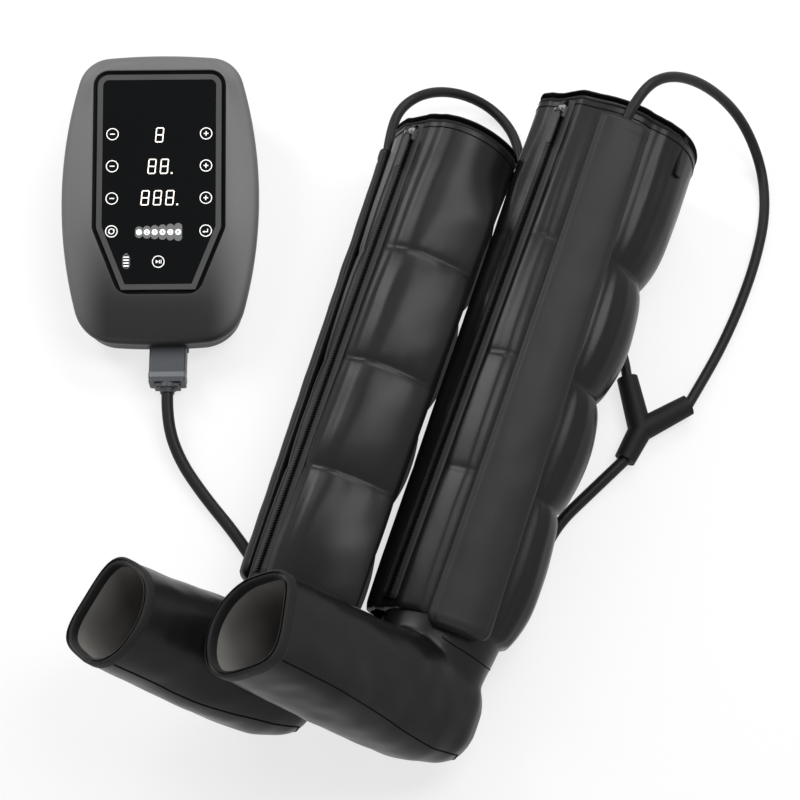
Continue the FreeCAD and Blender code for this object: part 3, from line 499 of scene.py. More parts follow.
def cornerReach(over):
    # distance from the inner corner that the two nearest sides make
    (most, first), (less, second) = sorted(over, key=lambda side: -side[0])[:2]
    shared = first.dot(second)
    if less <= most * shared or shared > 0.9999:
        return most
    return math.sqrt(max(0.0, (most ** 2 + less ** 2 - 2 * most * less * shared) / (1 - shared ** 2)))


def barrelReach(inset, turn):
    form = shellSettings
    corner = form["corners"][0] if math.sin(turn) > 0 else form["corners"][1]

    def inside(x, y):
        side = Vector((abs(x) - form["halfWidth"] + form["sideBow"], abs(y)))
        end = Vector((abs(x), abs(y) - form["halfLength"] + form["endBow"]))
        over = [(side.length - form["sideBow"] + corner, side.normalized()),
                (end.length - form["endBow"] + corner, end.normalized())]
        return cornerReach(over) < corner - inset

    return reachOut(inside, turn)


def panelReach(outset, rounding, turn):
    form = shellSettings["panel"]
    run, rise = form["bottom"] - form["cut"], form["halfWidth"] - form["foot"]
    length = math.hypot(run, rise)
    cut = (run * form["halfWidth"] + rise * form["cut"]) / length

    def inside(x, y):
        sides = ((abs(x) - form["halfWidth"], (1, 0)), (y - form["top"], (0, 1)),
                 (-y - form["bottom"], (0, -1)),
                 ((abs(x) * run - y * rise) / length - cut, (run / length, -rise / length)))
        over = [(side - outset + rounding, Vector(normal)) for side, normal in sides]
        return cornerReach(over) < rounding

    return reachOut(inside, turn)


def shellRings():
    form = shellSettings
    facets = []
    for step in range(form["facets"] + 1):
        share = step / form["facets"]
        height = -form["facetStart"] - form["drop"] * share ** form["facetPower"]
        facets.append(("facet", share, height))
    return [*form["wallRings"], *facets, *form["edgeRings"], *form["underRings"]]


def ringReach(kind, amount, turn):
    form = shellSettings
    if kind == "panel":
        return panelReach(amount, max(1.0, form["panelRound"] + amount), turn)
    if kind == "barrel":
        return barrelReach(amount, turn)
    start, more = form["facetRound"]
    soft = panelReach(form["facetOutset"], start + more * amount, turn)
    return soft + (barrelReach(form["facetInset"], turn) - soft) * amount


def addShell():
    rings, around = shellRings(), shellSettings["around"]
    count = len(rings) - 1

    def place(acrossShare, alongShare):
        kind, amount, height = rings[round(alongShare * count)]
        turn = 2 * math.pi * (round(acrossShare * around) % around + 0.5) / around
        reach = ringReach(kind, amount, turn)
        return Vector((reach * math.cos(turn), reach * math.sin(turn), height))

    # painted shade: the lower wall of the display's pocket and the underside take the near-black groove
    # finish
    def isGroove(acrossShare, alongShare):
        return not 1 < alongShare * count < count - 3

    shape = gridShape(around, count, place, isGroove, 1e-4)
    bmesh.ops.transform(shape, matrix=panelMatrix, verts=shape.verts)
    finishPiece(meshPiece("front_shell", shape), "shell plastic with painted shade", "groove painted shade",
                slotName="housing", stands="front_cover")


# a paler band round the plug and a step on its collar
plugSettings = {
    "x": 8.0, "height": 20.0, "edge": 0.5, "band": {"y": -178.5, "size": (38.9, 6.0, 22.9), "round": 3.2},
    "step": {"y": -188.4, "size": (27.0, 3.6, 17.0), "round": 2.0},
}


def addPlugDetails():
    turn = Matrix.Rotation(math.radians(pumpTurn), 4, "Z") @ Matrix.Scale(mm, 4)
    for name, finish in (("band", "plug band"), ("step", "plug plastic")):
        form = plugSettings[name]
        shape = bmesh.new()
        bmesh.ops.create_cube(shape, size=1.0)
        bmesh.ops.scale(shape, verts=shape.verts, vec=form["size"])
        lengthwise = [edge for edge in shape.edges if abs(edge.verts[0].co.y - edge.verts[1].co.y) > 1]
        bmesh.ops.bevel(
            shape, geom=lengthwise, offset=form["round"], affect="EDGES", segments=5, profile=0.5,
            material=-1)
        bmesh.ops.translate(
            shape, verts=shape.verts, vec=(plugSettings["x"], form["y"], plugSettings["height"]))
        bmesh.ops.transform(shape, matrix=turn, verts=shape.verts)
        piece = meshPiece("plug_" + name, shape, smooth=False)
        rounding = piece.modifiers.new("rounding", "BEVEL")
        rounding.width = plugSettings["edge"] * mm
        rounding.segments = 2
        rounding.limit_method = "ANGLE"
        applyModifiers(piece)
        finishPiece(piece, finish)


addPlugDetails()


# flat marks: bars, capsules, rings, arcs and arrow heads
def addBar(shape, x, y, wide, tall):
    made = bmesh.ops.create_grid(shape, x_segments=1, y_segments=1, size=0.5)["verts"]
    bmesh.ops.scale(shape, verts=made, vec=(wide, tall, 1))
    bmesh.ops.translate(shape, verts=made, vec=(x, y, 0))
    return made


def addCapsule(shape, x, y, wide, tall):
    made = bmesh.ops.create_circle(shape, cap_ends=True, segments=28, radius=wide / 2)["verts"]
    for point in made:
        point.co.y += math.copysign((tall - wide) / 2, point.co.y)
    bmesh.ops.translate(shape, verts=made, vec=(x, y, 0))
    return made


def addRing(shape, x, y, wide, tall, width):
    made = addCapsule(shape, x, y, wide, tall)
    face = made[0].link_faces[0]
    bmesh.ops.inset_region(shape, faces=[face], thickness=width, use_boundary=True, use_even_offset=True)
    bmesh.ops.delete(shape, geom=[face], context="FACES_ONLY")


def finishMark(name, shape, finish, lift=0.0, body=mainBody):
    bmesh.ops.recalc_face_normals(shape, faces=shape.faces)
    for face in shape.faces:
        if face.normal.z < 0:
            face.normal_flip()
    walls = bmesh.ops.extrude_face_region(shape, geom=shape.faces[:])["geom"]
    raised = [item for item in walls if isinstance(item, bmesh.types.BMVert)]
    bmesh.ops.translate(shape, verts=raised, vec=(0, 0, panelSettings["thick"]))
    bmesh.ops.recalc_face_normals(shape, faces=shape.faces)
    bmesh.ops.translate(shape, verts=shape.verts, vec=(0, 0, panelSettings["level"] + lift))
    bmesh.ops.transform(shape, matrix=panelMatrix, verts=shape.verts)
    finishPiece(meshPiece(name, shape, smooth=False), finish, body=body)


def addSegments(shape, x, y):
    form = panelSettings["digit"]
    wide, tall, stroke = form["wide"], form["tall"], form["stroke"]
    half = (tall - stroke) / 2
    made = []
    for level in (-half, 0, half):
        made += addBar(shape, 0, level, wide - stroke * 1.5, stroke)
    for column in (-(wide - stroke) / 2, (wide - stroke) / 2):
        for level in (-half / 2, half / 2):
            made += addBar(shape, column, level, stroke, half - stroke * 0.6)
    for point in made:
        point.co.x += point.co.y * form["slant"]
    bmesh.ops.translate(shape, verts=made, vec=(x, y, 0))


def addDigits():
    form = panelSettings["digit"]
    shape = bmesh.new()
    for x, y, count, dotted in panelSettings["digits"]:
        for index in range(count):
            addSegments(shape, x + (index - (count - 1) / 2) * form["pitch"], y)
        if dotted:
            right = x + (count - 1) / 2 * form["pitch"] + form["wide"] / 2 + form["dotGap"]
            addBar(shape, right, y - form["tall"] / 2 + form["dotRise"], form["dot"], form["dot"])
    finishMark("digits", shape, "lit digit")


def numberShape(text, size, x, y):
    curve = bpy.data.curves.new("number", "FONT")
    curve.body = text
    curve.size = size
    curve.align_x = "CENTER"
    curve.align_y = "CENTER"
    shape = curveShape(curve, 1e-4)
    bmesh.ops.translate(shape, verts=shape.verts, vec=(x, y, 0))
    return shape


def addChambers():
    form = panelSettings["chambers"]
    outer, discs = bmesh.new(), bmesh.new()
    for index in range(form["count"]):
        x = form["first"] + index * form["pitch"]
        tall = form["low"] + (form["high"] - form["low"]) * index / (form["count"] - 1)
        addCapsule(outer, x, form["y"], form["wide"], tall)
        addCapsule(discs, x, form["y"], form["disc"], form["disc"])
        number = numberShape(str(index + 1), form["number"], x, form["y"])
        finishMark("chamber_number", number, "dark mark", lift=0.12)
    finishMark("chamber_capsules", outer, "dim mark")
    finishMark("chamber_discs", discs, "lit mark", lift=0.06)


def addBattery():
    form = panelSettings["battery"]
    outline, bars = bmesh.new(), bmesh.new()
    addRing(outline, form["x"], form["y"], form["wide"], form["tall"], form["line"])
    addBar(outline, form["x"], form["y"] + (form["tall"] + form["cap"][1]) / 2, *form["cap"])
    for index in range(form["bars"]):
        level = (index - (form["bars"] - 1) / 2) * form["pitch"]
        addBar(bars, form["x"], form["y"] + level, form["wide"] - form["gap"], form["bar"])
    finishMark("battery_outline", outline, "dim mark")
    finishMark("battery_bars", bars, "lit mark", lift=0.02)


def arrowHead(shape, x, y, size, turn):
    made = bmesh.ops.create_circle(shape, cap_ends=True, segments=3, radius=size)["verts"]
    bmesh.ops.rotate(shape, verts=made, matrix=Matrix.Rotation(math.radians(turn), 3, "Z"))
    bmesh.ops.translate(shape, verts=made, vec=(x, y, 0))


def addArc(shape, x, y, radius, width, start, sweep):
    made = bmesh.ops.create_grid(shape, x_segments=24, y_segments=1, size=0.5)["verts"]
    for point in made:
        turn = math.radians(start + sweep * (point.co.x + 0.5))
        reach = radius + width * point.co.y
        point.co = (x + reach * math.cos(turn), y + reach * math.sin(turn), 0)


def keyIcon(shape, x, y, bars=(), heads=(), arcs=()):
    for aside, up, wide, tall in bars:
        addBar(shape, x + aside, y + up, wide, tall)
    for arc in arcs:
        addArc(shape, x, y, *arc)
    for aside, up, size, turn in heads:
        arrowHead(shape, x + aside, y + up, size, turn)


def addKeyMarks():
    size = 2 * panelSettings["ringRadius"]
    for name, (x, y, kind) in panelSettings["keys"].items():
        shape = bmesh.new()
        addRing(shape, x, y, size, size, panelSettings["ringWidth"])
        keyIcon(shape, x, y, **panelSettings["icons"][kind])
        finishMark("mark_" + name, shape, "lit mark", body=name)


addShell()
print("front shell made")
addDigits()
addChambers()
addBattery()
addKeyMarks()
print("display marks made")


# boots: the same stations and angles as the solids, in millimetres
bootForm = {
    "ankleAxis": 61.0, "thighAxis": 86.0, "toeLean": 45.0, "bottom": 140.0, "top": 690.0,
    "seams": (140.0, 285.0, 408.0, 538.0, 690.0), "lining": 14.0, "trackTop": 686.0,
    "seatHalf": 11.5, "seatEase": 14.0, "seatDepth": 45.0,
    "pressPlane": 345.0, "pressGap": 0.3, "floorEase": 5.0, "pressEase": 7.0,
}
# ankle and thigh are half the width and height; zip is its angle at the lower and at the upper end
boots = {
    "left": {"side": 1, "x": 426.0, "sole": -476.0, "ankle": (64.0, 52.0), "thigh": (83.0, 78.0),
             "stretch": 1.0, "foot": 1.0, "zip": (-24.0, 7.0), "zipBottom": 148.0, "stripBottom": 130.0,
             "relief": 0.5, "fill": 12.0, "seed": 4.0},
    "right": {"side": -1, "x": 278.0, "sole": -500.5, "ankle": (47.0, 52.0), "thigh": (64.0, 78.0),
              "stretch": 0.925, "foot": 0.85, "zip": (0.0, -14.0), "zipBottom": 164.0,
              "stripBottom": 160.0, "relief": 0.36, "fill": 30.0, "seed": 31.0},
}


def toward(angle):
    turn = math.radians(angle)
    return Vector((-math.sin(turn), 0, math.cos(turn)))


def worldAngle(boot, around):
    return bootForm["toeLean"] - boot["side"] * around


def legShare(u):
    return max(0.0, (u - bootForm["bottom"]) / (bootForm["top"] - bootForm["bottom"]))


def halfSizes(boot, share):
    return [low + (high - low) * share for low, high in zip(boot["ankle"], boot["thigh"])]


def baseRadius(boot, u, angle):
    wide, high = halfSizes(boot, legShare(u))
    turn = math.radians(angle)
    return 1 / math.hypot(math.sin(turn) / wide, math.cos(turn) / high)


def axisPoint(boot, u):
    height = bootForm["ankleAxis"] + (bootForm["thighAxis"] - bootForm["ankleAxis"]) * legShare(u)
    return Vector((boot["x"], boot["sole"] + u * boot["stretch"], height))


def legPoint(boot, u, around, stand):
    angle = worldAngle(boot, around)
    return axisPoint(boot, u) + toward(angle) * (baseRadius(boot, u, angle) + stand)


# the raised strip that covers the air line, seen here too as the skin is low beside it
stripSettings = {
    "widthTop": 50.0, "widthBottom": 60.0, "widthStand": 4.0, "height": 10.5, "gap": 1.4, "top": 672.0,
    "angleTop": 54.0, "angleBottom": 60.0, "power": 8.0, "across": 56, "along": 150, "wall": 0.0018,
    "edge": 0.9, "narrowEnd": 14.0, "narrowest": 0.75, "closedEnd": 9.0,
    # height, place and width of the sewn hems, along the sides and at the top
    "sideHem": (0.7, 0.8, 0.05), "topHem": (0.9, 12.0, 3.0), "topSeam": (0.8, 13.0, 1.5),
    # height and share of the slow waves across, and their size along
    "wave": (0.9, 1.3, 34.0),
}


def stripShare(boot, u):
    return (u - boot["stripBottom"]) / (stripSettings["top"] - boot["stripBottom"])


def stripAngle(boot, u):
    low, high = stripSettings["angleBottom"], stripSettings["angleTop"]
    return low + (high - low) * stripShare(boot, u)


def stripSpread(boot, u):
    low, high = stripSettings["widthBottom"], stripSettings["widthTop"]
    width = low + (high - low) * stripShare(boot, u)
    radius = baseRadius(boot, u, worldAngle(boot, stripAngle(boot, u))) + stripSettings["widthStand"]
    return math.degrees(width / 2 / radius)


def zipShare(boot, u):
    return (u - boot["zipBottom"]) / (bootForm["trackTop"] - boot["zipBottom"])


def zipAxes(boot, u):
    # origin and the sideways, along and outward directions of the straight track
    ends = (boot["zipBottom"], bootForm["trackTop"])
    low, high = [legPoint(boot, end, angle, 0) for end, angle in zip(ends, boot["zip"])]
    along = (high - low).normalized()
    middle = sum(ends) / 2
    wide, tall = halfSizes(boot, legShare(middle))
    radial = (low + high) / 2 - axisPoint(boot, middle)
    out = Vector((radial.x / wide ** 2, 0, radial.z / tall ** 2)).normalized()
    out = (out - along * out.dot(along)).normalized()
    return low + (high - low) * zipShare(boot, u), along.cross(out), along, out


def smoothStep(value):
    value = min(1.0, max(0.0, value))
    return value * value * (3 - 2 * value)


def fadeAfter(value, start, reach):
    # one up to the start, then down to nought over the reach
    return 1 - smoothStep((value - start) / reach)


def bump(value, middle, width):
    # one at the middle, fading out to either side
    return math.exp(-((value - middle) / width) ** 2)


def seated(boot, u, point, stand):
    # presses the skin flat along the zip, as the track is straight and flat
    origin, side, _, out = zipAxes(boot, u)
    aside = (point - origin).dot(side)
    level = (point - origin).dot(out)
    if level < -bootForm["seatDepth"]:
        return point
    return point + out * (stand - level) * fadeAfter(abs(aside), bootForm["seatHalf"], bootForm["seatEase"])


def eased(value, reach):
    # rounds off where a soft form meets a plane at zero
    if value >= reach:
        return value
    if value <= -reach:
        return 0.0
    return (value + reach) ** 2 / (4 * reach)


def settle(boot, point, press=True):
    # no deeper than the floor, and no further than the plane between the boots
    x, y, z = point
    if press:
        edge = bootForm["pressPlane"] + boot["side"] * bootForm["pressGap"]
        x = edge + boot["side"] * eased(boot["side"] * (x - edge), bootForm["pressEase"])
    return Vector((x, y, eased(z, bootForm["floorEase"])))


def skinPoint(boot, u, around, stand):
    return settle(boot, seated(boot, u, legPoint(boot, u, around, stand), stand)) * mm


# how the chambers swell and the seams draw in, in millimetres
swellSettings = {
    "swell": 12.0, "draw": 5.0, "power": 0.5, "rim": 3.0, "fullRim": 5.0,
    # where the swell against the other boot starts to fade, and over how much
    "fillEnd": (590.0, 80.0), "lowFill": 0.5, "lowEnd": (170.0, 110.0), "flatten": 0.75,
    # the outer side, where the seams draw in deepest
    "relief": 0.9, "outerAngle": 130.0, "outerNarrow": 0.8, "outerReach": 110.0, "outerGain": 1.4,
    "arc": 75.0, "calmEnd": (630.0, 50.0), "flatShare": 0.25, "flatGain": 1.4, "waveGain": 1.5,
    "puckers": {"height": 2.0, "around": 16.0, "along": 90.0, "far": 15.0, "near": 3.0},
    "folds": {"height": 0.9, "around": 45.0, "along": 40.0, "slant": 80.0},
    "waves": {"height": 2.0, "size": 75.0}, "stitch": {"depth": 1.2, "width": 1.6},
}
# angle, share of the swell and share of the draw: from the zip, and from the strip's outer edge
rollFullness = (
    (-60, 1.0, 1.0), (-45, 1.0, 1.0), (-34, 0.93, 1.0), (-25, 0.76, 1.0), (-17, 0.44, 0.9),
    (-11, 0.12, 0.5), (-7, 0.0, 0.2), (9, 0.0, 0.1))
sideFullness = (
    (-30, 0.0, 0.5), (-4, 0.0, 0.5), (3, -0.25, 0.6), (9, -0.05, 0.8), (18, 0.42, 1.0), (28, 0.82, 1.0),
    (40, 1.0, 1.0), (400, 1.0, 1.0))
# the skin between the zip and the strip: nearly flat, with a low puff
flatSettings = {"rollBack": -100, "zipEdge": 9, "zipEase": 7, "stripGap": 4, "stripEase": 9, "puff": 0.2,
                "draw": 0.1, "moreDraw": 0.6}


def stationsAt(table, angle):
    for (low, lowFull, lowDraw), (high, highFull, highDraw) in zip(table, table[1:]):
        if angle <= high:
            share = smoothStep((angle - low) / (high - low))
            return lowFull + (highFull - lowFull) * share, lowDraw + (highDraw - lowDraw) * share
    return table[-1][1:]


def signed(angle):
    return (angle + 180) % 360 - 180


def fullnessAt(boot, u, around):
    # how much of the chamber's swell and of the seam's draw shows at this angle
    flat = flatSettings
    low, high = boot["zip"]
    fromZip = signed(around - low - (high - low) * zipShare(boot, u))
    if flat["rollBack"] < fromZip <= flat["zipEdge"]:
        return stationsAt(rollFullness, fromZip)
    around = around % 360
    edge = stripAngle(boot, u) - stripSpread(boot, u)
    if around > 180 or around < edge:
        past = smoothStep((fromZip - flat["zipEdge"]) / flat["zipEase"])
        before = smoothStep((edge - signed(around) - flat["stripGap"]) / flat["stripEase"])
        return flat["puff"] * past * before, flat["draw"] + flat["moreDraw"] * past
    return stationsAt(sideFullness, around - stripAngle(boot, u) - stripSpread(boot, u))


def wander(boot, point, size):
    return noise.noise(Vector(point) / size + Vector((boot["seed"], 0, 0)))


def reliefAt(boot, around):
    # how deep the seams draw in: deepest on the outer side, shallow on the inner one
    form = swellSettings
    away = signed(around - form["outerAngle"])
    outer = math.cos(math.radians(away * form["outerNarrow"])) if abs(away) < form["outerReach"] else 0.0
    deeper = smoothStep(max(0.0, outer) * form["outerGain"])
    return boot["relief"] + (form["relief"] - boot["relief"]) * deeper


def legSwell(boot, u, around):
    form, seams = swellSettings, bootForm["seams"]
    index = max(step for step in range(len(seams) - 1) if u >= seams[step] or step == 0)
    low, high = seams[index], seams[index + 1]
    share = min(1.0, max(0.0, (u - low) / (high - low)))
    body = math.sin(math.pi * share) ** form["power"]
    full, draw = fullnessAt(boot, u, around)
    edge = -form["draw"] * draw
    if high == bootForm["top"] and share > 0.5:
        rim = form["rim"] + form["fullRim"] * full
        edge = edge + (rim - edge) * smoothStep(share * 2 - 1)
    facing = max(0.0, math.cos(math.radians(worldAngle(boot, around) - 90 * boot["side"]))) ** 2
    fill = boot["fill"] * facing * fadeAfter(u, *form["fillEnd"])
    fill *= 1 + form["lowFill"] * fadeAfter(u, *form["lowEnd"])
    crest = form["swell"] * full + fill * full
    swell = crest - (crest - edge) * (1 - body) * reliefAt(boot, around) * (1 - form["flatten"] * facing)

    # puckers by the seams, folds across the chambers and slow waves
    nearest = min(abs(u - seam) for seam in seams[:-1])
    calm = fadeAfter(u, *form["calmEnd"])
    arc = math.radians(around) * form["arc"]
    puckers, folds = form["puckers"], form["folds"]
    pucker = puckers["height"] * noise.noise(Vector((
        arc / puckers["around"], nearest / puckers["along"], seams[index] + boot["seed"])))
    pucker *= math.exp(-nearest / puckers["far"]) * (1 - math.exp(-nearest / puckers["near"]))
    fold = folds["height"] * body * noise.noise(Vector((
        arc / folds["around"], u / folds["along"] + arc / folds["slant"], boot["seed"] * 2)))
    least = form["flatShare"]
    share = (least + (1 - least) * min(1.0, full * form["flatGain"])) * calm
    swell += (pucker + fold) * share
    wave = form["waves"]["height"] * wander(boot, legPoint(boot, u, around, 0), form["waves"]["size"])
    swell += wave * min(1.0, full * form["waveGain"]) * calm
    return swell - form["stitch"]["depth"] * math.exp(-nearest / form["stitch"]["width"]) * draw


# each leg's outer skin, rim and lining as one sheet; the first rings are tucked in under the foot's edge
legSettings = {"around": 220, "outer": 190, "lining": 14, "rim": 6, "tucks": (9.0, 4.0, 1.5, 0.3),
               "rimRise": 3.0, "liningEnd": 6.0}


def legPath(step, count):
    # station along the leg, how far it is tucked in and the share of the way to the lining,
    # from the ankle over the rim and back down
    outer, rim, tucks = legSettings["outer"], legSettings["rim"], legSettings["tucks"]
    bottom, top = bootForm["bottom"], bootForm["top"]
    last = len(tucks) - 1
    if step <= last:
        return bottom - last + step, tucks[step], 0.0
    if step <= outer:
        return bottom + (top - bottom) * (step - last) / (outer - last), 0.0, 0.0
    if step <= outer + rim:
        turn = math.pi * (step - outer) / rim
        return top + legSettings["rimRise"] * math.sin(turn), 0.0, (1 - math.cos(turn)) / 2
    share = (step - outer - rim) / (count - outer - rim)
    return top + (bottom - legSettings["liningEnd"] - top) * share, 0.0, 1.0


def addLeg(boot, name):
    form = legSettings
    count = form["outer"] + form["rim"] + form["lining"]

    def place(acrossShare, alongShare):
        around = 360 * acrossShare
        u, tuck, inner = legPath(round(alongShare * count), count)
        swell = legSwell(boot, min(u, bootForm["top"]), around)
        return skinPoint(boot, u, around, (swell - tuck) * (1 - inner) - bootForm["lining"] * inner)

    def isLining(acrossShare, alongShare):
        return alongShare * count > form["outer"] + form["rim"] / 2

    piece = meshPiece("leg_skin_" + name, gridShape(form["around"], count, place, isLining))
    finishPiece(piece, "coated sleeve cloth", "lining cloth", slotName="sleeve_fabric",
                stands="leg_sleeve_" + name)


# each foot: a heel and forefoot tube joined to an ankle tube, remeshed to one skin
footSettings = {
    # along the foot, middle, half width and half height
    "sections": (
        (-56, 60, 22, 20), (-48, 62, 39.5, 38), (-30, 66, 49, 50), (0, 65, 52, 57),
        (50, 61, 52, 57), (120, 55.5, 52, 53.5), (219, 50, 52, 49)),
    # corner sharpness at the heel and at the toes: outside and inside of the sole, of the instep
    "corners": {(1, -1): (2.7, 4.2), (-1, -1): (2.6, 2.2), (1, 1): (2.6, 3.6), (-1, 1): (2.5, 2.0)},
    "stations": 60, "around": 96, "voxel": 0.0022, "soften": 14, "wall": 0.005, "toe": 223.0,
    "spare": 14.0, "middle": 50.0, "cornerStart": 60.0, "cornerRun": 150.0, "roll": 18.0, "rollStart": -40.0,
    "rollRun": 200.0, "cut": 4.0, "calm": 40.0, "waves": ((1.6, 48.0), (0.7, 21.0)),
    "ankle": {"start": 60.0, "over": 8.0, "stations": 20, "taper": 13.0, "under": 130.0, "least": 3.2,
              "more": 1.0},
    "sole": {"toe": 6.0, "heel": -38.0, "corner": 45.0, "bow": 14.0, "along": 60, "round": 24, "thick": 0.75},
    "counter": {"u": 122.0, "dip": 8.0, "start": 50.0, "sweep": 120.0, "stand": 4.0, "steps": 40,
                "thick": 0.6},
    "seamLift": 0.1,
}


def footPoint(boot, along, aside, u):
    middle = axisPoint(boot, 0) + Vector((0, u, 0))
    forward = toward(bootForm["toeLean"]) * along * boot["foot"]
    return middle + forward + toward(worldAngle(boot, 90)) * aside


def footSection(along):
    sections = footSettings["sections"]
    for low, high in zip(sections, sections[1:]):
        if along <= high[0]:
            share = (along - low[0]) / (high[0] - low[0])
            return [a + (b - a) * share for a, b in zip(low[1:], high[1:])]
    return sections[-1][1:]


def footRing(boot, along, turn, outset=0.0):
    form = footSettings
    middle, wide, high = footSection(along)
    x, y = math.cos(turn), math.sin(turn)
    heel, toe = form["corners"][(1 if x >= 0 else -1, 1 if y >= 0 else -1)]
    power = 2 / (heel + (toe - heel) * smoothStep((along - form["cornerStart"]) / form["cornerRun"]))
    x = math.copysign(abs(x) ** power, x) * (wide + outset)
    y = math.copysign(abs(y) ** power, y) * (high + outset)
    roll = math.radians(form["roll"]) * smoothStep((along - form["rollStart"]) / form["rollRun"])
    aside = x * math.cos(roll) - y * math.sin(roll)
    return footPoint(boot, along, aside, middle + y * math.cos(roll) + x * math.sin(roll))


def footTube(boot):
    first = footSettings["sections"][0][0]
    last = footSettings["toe"] + footSettings["spare"]

    def place(acrossShare, alongShare):
        return footRing(boot, first + (last - first) * alongShare, 2 * math.pi * acrossShare) * mm

    return gridShape(footSettings["around"], footSettings["stations"], place, capped=True)


def ankleTube(boot):
    form = footSettings["ankle"]
    end = bootForm["bottom"] + form["over"]

    def place(acrossShare, alongShare):
        u = form["start"] + (end - form["start"]) * alongShare
        below = 0.5 + 0.5 * math.cos(2 * math.pi * acrossShare - math.radians(form["under"]))
        taper = form["taper"] * (1 - alongShare) * below + form["least"] + form["more"] * below
        return legPoint(boot, u, 360 * acrossShare, -taper) * mm

    return gridShape(footSettings["around"], form["stations"], place, capped=True)


def seamLine(name, places, radius):
    # a sewn line along points given in metres
    shape = curveShape(tubeCurve(name, "POLY", places, radius, 1)[0], 1e-6)
    bmesh.ops.recalc_face_normals(shape, faces=shape.faces)
    finishPiece(meshPiece(name, shape), "seam thread", slotName="binding")


def snapped(surface, places):
    found = [surface.find_nearest(place * mm)[:2] for place in places]
    return [spot + normal * footSettings["seamLift"] * mm for spot, normal in found]


def shares(count):
    return [step / count for step in range(count + 1)]


def addFootSeams(boot, name, surface):
    form = footSettings["sole"]
    toe, heel, corner = footSettings["toe"] - form["toe"], form["heel"], form["corner"]
    outer = [(toe - (toe - heel) * share, 0.0) for share in shares(form["along"])]
    bend = [(heel - form["bow"] * math.sin(math.pi * share), 90 * share) for share in shares(form["round"])]
    inner = [(heel + (toe - heel) * share, 90.0) for share in shares(form["along"])]
    line = [footRing(boot, along, math.radians(-corner - turn)) for along, turn in outer + bend[1:-1] + inner]
    seamLine("sole_seam_" + name, snapped(surface, line), form["thick"])
    form = footSettings["counter"]
    line = [legPoint(boot, form["u"] - form["dip"] * math.sin(math.pi * share),
                     form["start"] + form["sweep"] * share, form["stand"]) for share in shares(form["steps"])]
    seamLine("heel_seam_" + name, snapped(surface, line), form["thick"])


def addFoot(boot, name):
    form = footSettings
    shape, ankleShape = footTube(boot), ankleTube(boot)
    ankle = bpy.data.meshes.new("ankle")
    ankleShape.to_mesh(ankle)
    ankleShape.free()
    shape.from_mesh(ankle)
    bpy.data.meshes.remove(ankle)
    piece = meshPiece("foot_skin_" + name, shape)
    remesh = piece.modifiers.new("remesh", "REMESH")
    remesh.mode = "VOXEL"
    remesh.voxel_size = form["voxel"]
    soften = piece.modifiers.new("soften", "SMOOTH")
    soften.factor = 0.5
    soften.iterations = form["soften"]
    applyModifiers(piece)

    # cut open at the toes and under the leg, then waved and settled on the floor
    shape = bmesh.new()
    shape.from_mesh(piece.data)
    forward = toward(bootForm["toeLean"])
    toeEnd = footPoint(boot, form["toe"], 0, form["middle"])
    for origin, normal in (
            (toeEnd, forward), (axisPoint(boot, bootForm["bottom"] + form["cut"]), Vector((0, 1, 0)))):
        bmesh.ops.bisect_plane(
            shape, geom=shape.verts[:] + shape.edges[:] + shape.faces[:], plane_co=origin * mm,
            plane_no=normal, clear_outer=True)
    for point in shape.verts:
        place = point.co / mm
        lift = sum(height * wander(boot, place, size) for height, size in form["waves"])
        place = place + point.normal * lift * smoothStep((toeEnd - place).dot(forward) / form["calm"])
        point.co = settle(boot, place, False) * mm
    shape.to_mesh(piece.data)
    addFootSeams(boot, name, BVHTree.FromBMesh(shape))
    shape.free()
    piece.data.shade_smooth()

    # the lining and the cut edges take the second finish
    for finish in ("coated sleeve cloth", "lining cloth"):
        piece.data.materials.append(finishes[finish])
    wall = addThickness(piece, form["wall"])
    wall.material_offset = 1
    wall.material_offset_rim = 1
    applyModifiers(piece)
    finishPiece(piece, slotName="sleeve_fabric", stands="foot_sleeve_" + name)


# woven bands over the raw edges at the thigh and at the toes
bandSettings = {
    "top": {"low": 686.5, "high": 697.0, "lip": 1.3, "round": 2.2, "around": 220, "seam": 681.0,
            "seamLift": 0.2, "seamThick": 0.6},
    "toe": {"low": -8.0, "high": 3.5, "lip": 0.9, "round": 2.4, "around": 128},
    "section": 24,
}


def roundedLoop(share, low, high, lower, upper, radius):
    # a point on a rounded rectangle between low..high and lower..upper
    corners = ((high, upper), (low, upper), (low, lower), (high, lower))
    x, y = corners[min(3, int(share * 4))]
    turn = math.pi / 2 * (share * 4)
    middleX = x - radius if x == high else x + radius
    middleY = y - radius if y == upper else y + radius
    return middleX + radius * math.cos(turn), middleY + radius * math.sin(turn)


def addBand(name, around, place, node):
    piece = meshPiece(name, gridShape(around, bandSettings["section"], place))
    finishPiece(piece, "binding tape", slotName="binding", stands=node)


def addTopBand(boot, name):
    band = bandSettings["top"]
    inner = -bootForm["lining"] - band["lip"]

    def place(acrossShare, alongShare):
        around = 360 * acrossShare
        outer = legSwell(boot, bootForm["top"], around) + band["lip"]
        stand, u = roundedLoop(alongShare, inner, outer, band["low"], band["high"], band["round"])
        return skinPoint(boot, u, around, stand)

    line = [skinPoint(boot, band["seam"], around, legSwell(boot, band["seam"], around) + band["seamLift"])
            for around in range(0, 361, 2)]
    seamLine("rim_seam_" + name, line, band["seamThick"])
    addBand("top_band_" + name, band["around"], place, "top_binding_" + name)


def addToeBand(boot, name):
    band, toe = bandSettings["toe"], footSettings["toe"]
    inner = -footSettings["wall"] / mm - band["lip"]

    def place(acrossShare, alongShare):
        along, outset = roundedLoop(
            alongShare, toe + band["low"], toe + band["high"], inner, band["lip"], band["round"])
        return footRing(boot, along, 2 * math.pi * acrossShare, outset) * mm

    addBand("toe_band_" + name, band["around"], place, "toe_binding_" + name)


def quarterRound(share):
    return math.sqrt(max(0.0, 1 - (1 - min(1.0, share)) ** 2))


